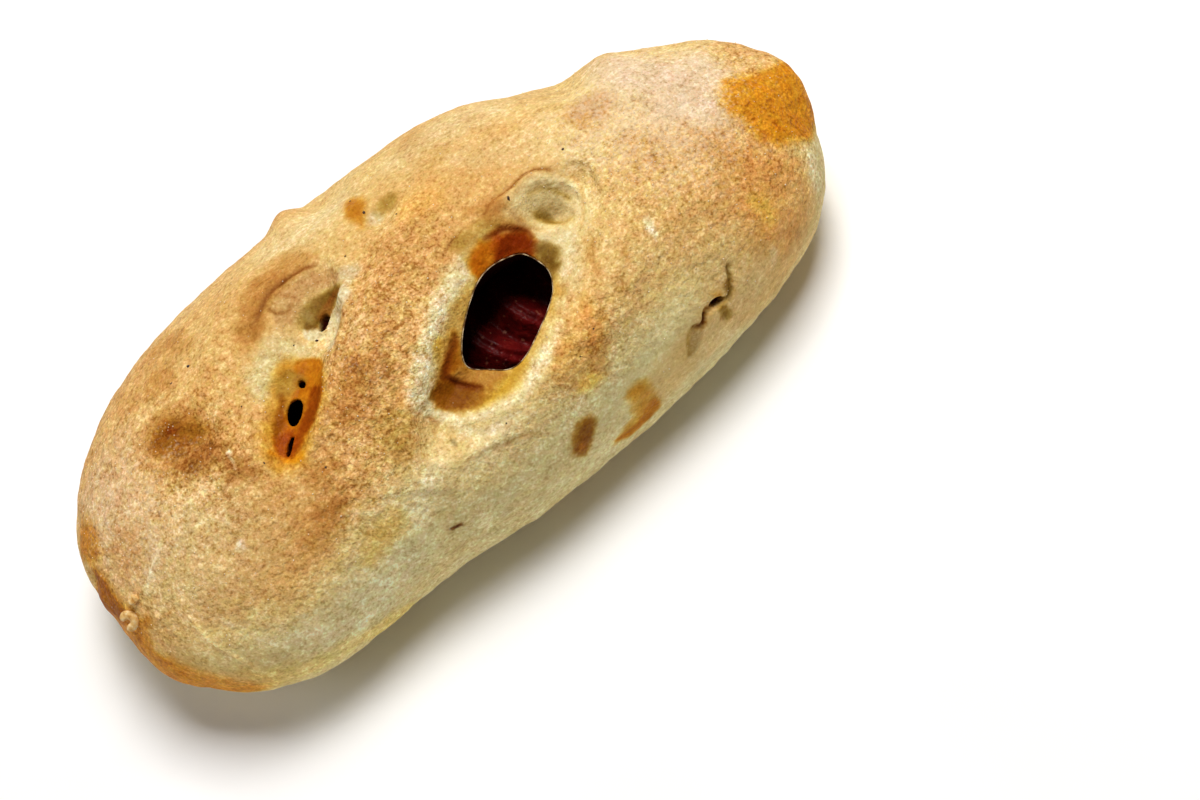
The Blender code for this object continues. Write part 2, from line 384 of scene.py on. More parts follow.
def curve_through(points, count, closed=False):
    """Evenly parted points on a smooth curve through the given ones."""
    knots = np.array(points, float)
    spans = len(knots) if closed else len(knots) - 1
    t = np.linspace(0, spans, count, endpoint=not closed)
    i = np.minimum(t.astype(int), spans - 1)
    f = (t - i)[:, None]

    def knot(k):
        return knots[k % len(knots)] if closed else knots[np.clip(k, 0, len(knots) - 1)]

    before, start, end, after = knot(i - 1), knot(i), knot(i + 1), knot(i + 2)
    return 0.5 * (
        2 * start
        + (end - before) * f
        + (2 * before - 5 * start + 4 * end - after) * f**2
        + (3 * start - before - 3 * end + after) * f**3
    )


def beside_line(points, line, reach):
    """How far each point is from a line, on which side (+1 or -1), and how far along as a share.

    The line is given as (x, girth) points. Points farther away than reach get that distance.
    """
    knots = curve_through(line, 4 * (len(line) - 1) + 1)
    places = np.array([spot(x, girth) for x, girth in knots])
    distance = np.full(len(points), float(reach))
    side = np.ones(len(points))
    share = np.zeros(len(points))
    low, high = places.min(0) - reach, places.max(0) + reach
    close = np.flatnonzero(((points > low) & (points < high)).all(axis=1))
    near_points = points[close]
    best = np.full(len(close), float(reach))
    for k, (start, end) in enumerate(zip(places[:-1], places[1:])):
        run = end - start
        t = np.clip((near_points - start) @ run / (run @ run), 0, 1)
        offset = near_points - (start + t[:, None] * run)
        d = np.linalg.norm(offset, axis=1)
        closer = d < best
        best = np.where(closer, d, best)
        left = np.cross(outward(start), run)
        side[close[closer]] = np.sign(offset[closer] @ left)
        share[close[closer]] = (k + t[closer]) / (len(places) - 1)
    distance[close] = best
    return distance, side, share


def faded_ends(share):
    return np.sqrt(np.clip(4 * share * (1 - share), 0, 1))


def ridge(distance, width):
    return np.exp(-((distance / width) ** 2))


# How softly a fold's high side begins
FOLD_EASE = 0.6


def fold_relief(points, fold):
    distance, side, share = beside_line(points, fold.points, 3 * fold.reach)
    lifted = fold.rise * ridge(distance, fold.reach) * smoothstep(-FOLD_EASE, FOLD_EASE, side * distance)
    return faded_ends(share) * (lifted - fold.groove * ridge(distance, fold.groove_width))


# Creases, wrinkles and streaks of the crust; the dark tones along the creases are painted shade
FOLDS = {
    # The crater crease's dark line is painted shadow under the crater's overhanging lip
    "crater crease": Fold(0.9, 3, 0.7, 0.5, CREASE_SHADE, 1, 0.5, (
        (35.5, 92), (33.5, 94), (31, 95), (26.5, 94), (22.5, 94), (19.5, 92))),
    # Brown painted shade where the crease runs on and fades
    "painted shade at the foot of the crease": Fold(0.4, 2, 0.15, 0.8, BROWN, 0.5, 1.2, (
        (25.5, 94), (22.5, 94), (19.5, 95), (16, 96))),
    "crater lip": Fold(0.7, 2, 0.2, 0.5, CREAM, 0.4, 0.9, (
        (34.5, 90), (36, 88), (36.5, 84), (36, 80), (34, 78))),
    "light crescent": Fold(0.3, 0.9, -0.2, 0.5, BRIGHT, 0.8, 0.55, (
        (29.5, 92), (32, 92), (34.5, 90), (36.5, 86), (36, 82), (34, 78))),
    "dark arc in the crater": Fold(0, 1, 0.4, 0.5, OLIVE_BROWN, 0.6, 0.45, (
        (28.5, 91), (31, 91), (33, 90), (34.5, 87), (35, 84))),
    "line round the crater": Fold(0, 1, 0.25, 0.4, TAN, 0.6, 0.4, (
        (35.5, 91), (38, 88), (37, 82), (34.5, 76), (32.5, 73))),
    "wrinkle under the crater": Fold(0, 1, 0.35, 0.5, DULL_TAN, 0.7, 0.6, (
        (24, 90), (24.5, 86), (27.5, 82))),
    "second crescent": Fold(0.15, 0.6, 0, 0.4, CREAM, 0.5, 0.35, (
        (33.5, 88), (33.5, 86), (33.5, 84), (32, 83))),
    "crater lower edge": Fold(-1.6, 3, 0.3, 0.5, OLIVE_BROWN, 0.45, 0.8, (
        (28.5, 89), (28, 87), (29, 85), (30.5, 81), (32, 79), (34, 79))),
    # The flap's dark lines are painted shade in its creases
    "flap arc": Fold(0.5, 3, 0.6, 0.45, CREASE_SHADE, 1, 0.45, (
        (-27.5, 108), (-24, 112), (-21.5, 114), (-19.5, 114), (-16.5, 114), (-13.5, 113), (-11, 112))),
    "second line of the flap": Fold(0.2, 1, 0.35, 0.4, CREASE_SHADE, 0.5, 0.35, (
        (-24, 111), (-23.5, 107), (-21.5, 106), (-19.5, 107))),
    "third line of the flap": Fold(0.15, 1, 0.2, 0.4, CREASE_SHADE, 0.3, 0.35, (
        (-21.5, 111), (-19.5, 109), (-18, 108))),
    "flap edge": Fold(1.6, 2.6, 0.9, 0.7, TAN, 0, 0.5, (
        (-10, 100), (-12, 99), (-14.5, 100), (-16.5, 99), (-19.5, 98))),
    "lip of the small slash": Fold(0.9, 2.2, 0.3, 0.5, TAN, 0, 0.5, (
        (-20.5, 91), (-23, 87), (-25.5, 83), (-29.5, 76), (-34, 72), (-37, 70))),
    "pocket line": Fold(0.6, 1.6, 0.7, 0.5, OIL_DARK, 0.9, 0.6, (
        (-4.8, 61), (-4.2, 56), (-2.7, 52), (-0.5, 49))),
    "stain by the pocket": Fold(0, 1, 0.2, 0.8, OIL_DARK, 0.5, 0.9, (
        (1.5, 70), (-1.5, 67), (-4, 63), (-6, 60))),
    "bright fold below the hole": Fold(0, 1, -0.7, 1.4, BRIGHT, 0.7, 1.3, (
        (-11.5, 50), (-8.5, 46), (-5, 44), (1, 42), (6, 43), (11.5, 47), (15, 51), (18.5, 56))),
    "second bright fold": Fold(0, 1, -0.45, 1.1, BRIGHT, 0.55, 0.9, (
        (-11.5, 38), (-6.5, 36), (-1.5, 36), (4.5, 36))),
    "groove between the folds": Fold(0, 1, 0.35, 0.8, GREY_CREAM, 0.6, 0.8, (
        (-10.5, 42), (-8, 41), (-5, 38), (-1, 38), (2.5, 38))),
    "lower edge of the folds": Fold(0.5, 2, 0.3, 0.5, BROWN, 0.35, 0.5, (
        (-6.5, 34), (-4, 32), (-1, 31), (2.5, 28))),
    # Painted shade in the wrinkle
    "wrinkle at the low left": Fold(0, 1, 0.4, 0.4, CREASE_SHADE, 0.4, 0.4, (
        (-13, 54), (-12, 51), (-11.5, 48))),
    "crack": Fold(0.3, 1.5, 1.1, 0.5, DARK_OLIVE, 1, 0.45, (
        (51.5, 25), (51, 28), (50.5, 25), (50, 22), (49, 18), (48, 16), (46.5, 17))),
    "crack below its hole": Fold(0.3, 1.5, 1.2, 0.5, SPOT_BROWN, 1, 0.5, (
        (44, 18), (42.5, 19.5), (41.7, 17), (40.5, 14), (39.5, 16), (38, 18))),
    "foot of the crack": Fold(0.3, 1.5, 0.5, 0.6, OLIVE_BROWN, 0.6, 0.6, ((38, 18), (36.5, 14), (35, 6))),
    "scratch": Fold(0, 1, -0.25, 0.4, BRIGHT, 0.4, 0.4, (
        (-65.5, 128), (-66.5, 119), (-66, 110), (-67, 105))),
    "flour streak": Fold(0, 1, -0.5, 0.55, BRIGHT, 0.8, 0.55, (
        (-66.5, 80), (-69, 77.5), (-71.7, 74.8), (-74, 71.5), (-75.8, 68.8))),
    "light streak": Fold(0, 1, -0.25, 0.6, BRIGHT, 0.55, 0.5, (
        (-37, 48), (-34.5, 45), (-32.5, 42), (-30, 39))),
    "fibre by the dark oval": Fold(0, 1, -0.2, 0.35, FLOUR_WHITE, 0.7, 0.3, (
        (-46.5, 86), (-46.5, 83), (-47, 80))),
    "line over the left end": Fold(0, 1, -0.2, 0.6, CREAM, 0.4, 0.6, (
        (-39.5, 99), (-42.5, 96), (-45.5, 93), (-47, 89))),
    # Painted shade in the wrinkle
    "wrinkle over the hole": Fold(0.2, 1, 0.35, 0.4, CREASE_SHADE, 0.4, 0.4, (
        (8, 90), (10, 91), (12, 92), (14, 92))),
    "torn top edge": Fold(0.4, 1.2, 0.3, 0.5, OIL_DARK, 0.7, 0.55, (
        (16.5, 88), (19, 88), (21, 88), (23.5, 86), (24.5, 84), (24.5, 81))),
    "fibre right of the crater": Fold(0, 1, -0.15, 0.4, BRIGHT, 0.5, 0.35, (
        (34.5, 73), (34.5, 70), (35, 66), (34.5, 63))),
    "stripe right of the crater": Fold(0.3, 1.6, 0.35, 0.5, BROWN, 0.45, 0.7, (
        (33.5, 68), (31, 64), (30, 60), (29.5, 56))),
    "far stripe right of the crater": Fold(0.2, 1.4, 0.3, 0.5, BROWN, 0.45, 0.6, (
        (37.5, 62), (36, 58), (35.5, 54))),
    "fold along the blotch": Fold(0.3, 1.2, 0.3, 0.45, BROWN, 0.3, 0.5, ((15, 48), (13.5, 45), (13, 41))),
    "low crease": Fold(0.35, 2, 0.3, 0.6, TAN, 0, 0.5, ((-29, 42), (-25.5, 39), (-22, 34), (-17.5, 30))),
    # A pale fibre, raised as painted light where the near side lies in shade
    "line on the low left": Fold(0, 1, -0.5, 0.45, FIBRE_AND_LIGHT, 1, 0.45, (
        (-70.5, 60), (-71, 52), (-71, 44), (-70.3, 36), (-69.2, 27.6), (-68, 19), (-66.7, 11), (-65, 5))),
    "short fibre": Fold(0, 1, -0.2, 0.4, BRIGHT, 0.8, 0.4, ((-67, 44), (-66, 43), (-65.5, 40))),
    "crease on the low left": Fold(0.2, 2, 0.15, 0.6, TAN, 0, 0.5, ((-69, 82), (-66, 76), (-62, 69))),
    "wavy edge of the crack": Fold(0.35, 1.2, 0, 0.4, TAN, 0, 0.5, ((50, 20), (48, 14), (47, 7))),
}

# Low swells and dents that the part leaves out
SMALL_SWELLS = (
    Oval(-31, 97, 0, 7, 7, 0.5), Oval(18.6, 85.2, 30, 3.2, 2.2, 0.5), Oval(14, 86, 20, 2.6, 2, 0.4),
    Oval(45.6, 10, 30, 2, 1.6, -0.9), Oval(37.2, 12.4, 60, 3.2, 1.2, -0.8),
    Oval(36.1, 352, 0, 1.6, 1.4, -0.8), Oval(-3.7, 54.4, 0, 4, 3, -1), Oval(1.2, 121, 0, 2.2, 2.2, 0.5),
    Oval(50, 134, 0, 10, 13, -2), Oval(66, 127, 0, 10, 13, -1.6), Oval(84, 74, 0, 7, 13, 2.6),
    Oval(77, 98, 0, 8, 8, -1.6), Oval(-3, 142, 0, 9, 11, -1.6), Oval(-84, 99, 0, 3, 3, -0.9),
    Oval(-84.7, 82, 0, 4, 4, 0.7), Oval(-82, 6, 0, 9, 10, 0.7),
)
# Where the torn crumb is lumpy
KNOBBLY = (
    Oval(-31, 96, 45, 10, 7, 1.6), Oval(4, 84, 60, 12, 5, 0.7), Oval(-10, 62, 70, 16, 6, 0.7),
    Oval(8, 43, 10, 20, 5, 0.7), Oval(30, 70, 70, 12, 5, 0.7), Oval(31, 84, 0, 7, 6, 0.5),
)
# Small deep holes
PITS = (
    Oval(-17.2, 99.6, 40, 2, 1.05, 4), Oval(45.3, 18, -25, 1.9, 1.1, 3),
    Oval(41.3, 16.5, 60, 1.5, 0.45, 2),
)


def relief(points):
    """How far the crust stands out from the smooth loaf, as in the part."""
    slashes = slash_relief(points, MAIN_SLASH) + slash_relief(points, SMALL_SLASH)
    return hills(points, SWELLS.values(), slashes)


# The grain of the skin: height, size and seed
GRAIN = ((0.45, 14.0, 1), (0.32, 4.5, 3), (0.12, 1.6, 5))
KNOB_SIZE = 3.2
KNOB_SEED = 9


def fine_relief(points):
    """Folds, creases, lumps and the grain of the baked skin."""
    total = sum(height * cloudy(points, size, seed, 2) for height, size, seed in GRAIN)
    total += hills(points, KNOBBLY) * cloudy(points, KNOB_SIZE, KNOB_SEED, 2)
    total = sum((fold_relief(points, fold) for fold in FOLDS.values()), total)
    return hills(points, SMALL_SWELLS, total)


def press_base(points):
    """Presses everything below z = 0 flat, with a soft turn into the side."""
    z = points[:, 2]
    turn = np.clip(z + BASE_EASE, 0, None) ** 2 / (4 * BASE_EASE)
    pressed = points.copy()
    pressed[:, 2] = np.where(z > BASE_EASE, z, turn)
    return pressed


def mesh_points(mesh):
    points = np.empty(len(mesh.vertices) * 3)
    mesh.vertices.foreach_get("co", points)
    return points.reshape(-1, 3)


def set_mesh_points(mesh, points):
    mesh.vertices.foreach_set("co", np.ascontiguousarray(points, float).ravel())
    mesh.update()


def linked(name, data):
    thing = bpy.data.objects.new(name, data)
    bpy.context.scene.collection.objects.link(thing)
    return thing


def object_from(bm, name):
    bmesh.ops.recalc_face_normals(bm, faces=bm.faces)
    mesh = bpy.data.meshes.new(name)
    bm.to_mesh(mesh)
    bm.free()
    return linked(name, mesh)


def lying_sphere(name, segments, rings):
    """A unit sphere with its poles on the X axis, and its points."""
    bm = bmesh.new()
    bmesh.ops.create_uvsphere(bm, u_segments=segments, v_segments=rings, radius=1)
    bmesh.ops.rotate(bm, verts=bm.verts, matrix=Matrix.Rotation(pi / 2, 3, "Y"))
    thing = object_from(bm, name)
    return thing, mesh_points(thing.data)


def joined_rings(bm, rings, closed):
    """Joins rings of vertices into a tube that closes on itself, or that has a face over each end."""
    following = rings[1:] + rings[:1] if closed else rings[1:]
    for before, after in zip(rings, following):
        for j in range(len(before)):
            bm.faces.new((before[j], before[j - 1], after[j - 1], after[j]))
    if not closed:
        bm.faces.new(rings[0])
        bm.faces.new(rings[-1])


def lump(bm, subdivisions, shape):
    """An icosphere whose vertices the given function moves."""
    for vert in bmesh.ops.create_icosphere(bm, subdivisions=subdivisions, radius=1)["verts"]:
        vert.co = shape(vert.co)


def tree_of(thing):
    bpy.context.view_layer.update()
    return BVHTree.FromObject(thing, bpy.context.evaluated_depsgraph_get())


def seat_on(tree, x, girth):
    """The place on the finished crust nearest to a spot of the loaf, and the crust's normal there."""
    return tree.find_nearest(Vector(spot(x, girth)))[:2]


def apply_modifiers(thing):
    graph = bpy.context.evaluated_depsgraph_get()
    mesh = bpy.data.meshes.new_from_object(thing.evaluated_get(graph))
    thing.modifiers.clear()
    old = thing.data
    thing.data = mesh
    bpy.data.meshes.remove(old)
    mesh.name = thing.name


def cut(thing, cutter):
    modifier = thing.modifiers.new(cutter.name, "BOOLEAN")
    modifier.operation = "DIFFERENCE"
    modifier.solver = "MANIFOLD"
    modifier.object = cutter


def remesh(thing, voxel):
    modifier = thing.modifiers.new("remesh", "REMESH")
    modifier.mode = "VOXEL"
    modifier.voxel_size = voxel
    apply_modifiers(thing)


def decimate(thing, triangles, keep=None):
    """Thins the mesh to about this many triangles, most where keep, a share for each vertex, is low."""
    now = sum(len(face.vertices) - 2 for face in thing.data.polygons)
    modifier = thing.modifiers.new("decimate", "DECIMATE")
    modifier.ratio = min(1, triangles / now)
    if keep is not None:
        group = thing.vertex_groups.new(name="thin")
        for level in range(11):
            chosen = np.flatnonzero(np.round(10 * (1 - keep)) == level)
            group.add(chosen.tolist(), level / 10, "REPLACE")
        modifier.vertex_group = group.name
    apply_modifiers(thing)
    thing.vertex_groups.clear()


def closed_loft(name, rings, first, last):
    """A closed mesh through rings of points, with a fan to a point at each end."""
    ids = np.arange(rings.shape[0] * rings.shape[1]).reshape(rings.shape[:2])
    ahead = np.roll(ids, -1, axis=1)
    sides = np.stack([ids[:-1], ids[1:], ahead[1:], ahead[:-1]], axis=-1).reshape(-1, 4)
    start_fan = np.stack([np.full_like(ids[0], ids.size), ids[0], ahead[0]], axis=-1)
    end_fan = np.stack([np.full_like(ids[0], ids.size + 1), ahead[-1], ids[-1]], axis=-1)
    points = np.concatenate([rings.reshape(-1, 3), [first, last]])
    mesh = bpy.data.meshes.new(name)
    mesh.from_pydata(points.tolist(), [], [*sides.tolist(), *start_fan.tolist(), *end_fan.tolist()])
    return linked(name, mesh)


class Skin:
    """The uncut crust: its smooth points, its finished points and a tree to look them up in."""

    def __init__(self):
        ring = np.linspace(0, pi, RINGS + 1)[1:-1, None]
        s = -np.cos(ring + RING_CROWDING * np.sin(2 * ring) / 2)
        turn = np.linspace(0, 2 * pi, SEGMENTS, endpoint=False)[None]
        rings = loaf(*np.broadcast_arrays(s, turn + SEGMENT_CROWDING * np.cos(turn)))
        tip = np.array((HALF_LENGTH, AXIS_Y, WIDE_LINE))
        self.thing = closed_loft("bread", rings, tip * (-1, 1, 1), tip)
        self.smooth = mesh_points(self.thing.data)
        lift = relief(self.smooth) + fine_relief(self.smooth)
        self.done = press_base(self.smooth + outward(self.smooth) * lift[:, None])
        set_mesh_points(self.thing.data, self.done)
        self.corner = np.array([face.vertices[0] for face in self.thing.data.polygons])
        self.tree = tree_of(self.thing)

    def look_up(self, points):
        """For each point, the smooth loaf's point under the nearest skin, and the depth below that skin."""
        rest = np.empty_like(points)
        depth = np.empty(len(points))
        for k, point in enumerate(points):
            place, normal, face, distance = self.tree.find_nearest(Vector(point))
            corner = self.corner[face]
            rest[k] = self.smooth[corner] + np.array(place) - self.done[corner]
            depth[k] = distance if (Vector(point) - place).dot(normal) < 0 else 0
        return rest, depth


def make_tunnel():
    tunnel, unit = lying_sphere("tunnel", *TUNNEL_MESH)
    s = unit[:, 0]
    narrowing = (1 - np.abs(s) ** TUNNEL_POWER) ** (1 / TUNNEL_POWER)
    turn = np.arctan2(unit[:, 2], unit[:, 1])
    y = TUNNEL_Y + TUNNEL_HALF_WIDTH * narrowing * np.cos(turn)
    z = TUNNEL_HEIGHT + TUNNEL_HALF_HEIGHT * narrowing * np.sin(turn)
    set_mesh_points(tunnel.data, np.stack([TUNNEL_HALF_LENGTH * s, y, z], axis=-1))
    return tunnel


def make_chamber(name, slash, hole, skin):
    """The hollow under a slash, kept RIM below the crust so that only the hole opens it."""
    place, along, across, _ = axes_at(slash)
    middle = place + along * hole.along + across * hole.across
    foot = np.array((middle[0], (middle[1] + TUNNEL_Y) / 2, TUNNEL_HEIGHT))
    chamber, unit = lying_sphere(name, *CHAMBER_MESH)
    rise = np.where(unit[:, 2:] > 0, CHAMBER_RISE, CHAMBER_SINK)
    points = foot + unit[:, :1] * along * hole.half_length
    points += unit[:, 1:2] * across * hole.half_width
    points += unit[:, 2:] * rise * (middle - foot)
    for point in points:
        sky = Vector((point[0], point[1], 2 * TOP_HEIGHT))
        roof = skin.tree.ray_cast(sky, Vector((0, 0, -1)))[0]
        point[2] = min(point[2], roof.z - RIM)
    set_mesh_points(chamber.data, points)
    return chamber


def make_punch(name, slash, outline):
    """A prism of an outline, given along and across the slash, that goes through the crust."""
    bm = bmesh.new()
    face = bm.faces.new([bm.verts.new(point) for point in over_slash(slash, outline, PUNCH_ABOVE)])
    pushed = bmesh.ops.extrude_face_region(bm, geom=[face])["geom"]
    moved = [item for item in pushed if isinstance(item, bmesh.types.BMVert)]
    out = axes_at(slash)[3]
    bmesh.ops.translate(bm, verts=moved, vec=Vector(-(PUNCH_ABOVE + PUNCH_BELOW) * out))
    return object_from(bm, name)


def oval_outline(hole):
    turn = radians(hole.turn)
    outline = []
    for k in range(OVAL_POINTS):
        t = 2 * pi * k / OVAL_POINTS
        u, v = hole.half_length * cos(t), hole.half_width * sin(t)
        along, across = u * cos(turn) - v * sin(turn), u * sin(turn) + v * cos(turn)
        outline.append((hole.along + along, hole.across + across))
    return outline


def make_pit(name, oval):
    """A small deep hollow that doesn't reach the tunnel."""
    pit, unit = lying_sphere(name, *PIT_MESH)
    place, along, across, out = axes_at(oval)
    sunk = place + out * (relief(place[None])[0] + fine_relief(place[None])[0])
    points = sunk + unit[:, :1] * along * oval.half_length + unit[:, 1:2] * across * oval.half_width
    set_mesh_points(pit.data, points + unit[:, 2:] * out * oval.amount)
    return pit


# How brown each tone of the crust is
BAKED = ((0.0, PALE), (0.3, STRAW), (0.55, TAN), (0.8, BROWN), (1.0, DARK_BROWN))

RIM_TONE = (222, 196, 150)
RIM_WIDTH = 0.35
RIM_REACH = 3.0
RIM_STRENGTH = 0.35

# Where the crust is more or less grainy than on the whole
GRAININESS = (
    Oval(48, 12, 0, 30, 20, -0.5), Oval(-12, 78, 40, 26, 9, 0.7), Oval(66, 50, 0, 24, 26, 0.4),
    Oval(-52, 90, 0, 18, 14, 0.3), Oval(20, 40, 30, 12, 8, 0.4), Oval(-51, 88, 0, 8, 7, 0.5),
    Oval(12, 66, 24, 31, 15, -0.35), Oval(31, 86, 0, 8, 8, -0.3), Oval(-30, 95, 45, 12, 7, -0.3),
    Oval(10, 128, 0, 60, 18, -0.35), Oval(-52, 62, 0, 22, 20, -0.2),
)

# Where the crust has browned more or less than it does on the whole
BROWNING = (
    Oval(-38, 60, 40, 18, 10, 0.08), Oval(58, 40, 0, 16, 12, 0.12), Oval(-62, 128, 0, 16, 12, 0.06),
    Oval(-10, 128, 0, 30, 10, -0.16), Oval(62, 114, 0, 16, 10, -0.2), Oval(-60, 50, 0, 20, 20, 0.02),
    Oval(40, 68, 0, 16, 18, -0.05),
)
# Where flour lies on the crust
FLOURED = (
    Oval(60, 100, 0, 20, 16, 0.75), Oval(-70, 96, 20, 14, 20, 0.5), Oval(-16, 78, 40, 24, 8, 0.3),
    Oval(60, 60, 20, 22, 20, 0.25), Oval(-72, 74, 70, 6, 1.6, 0.35),
)

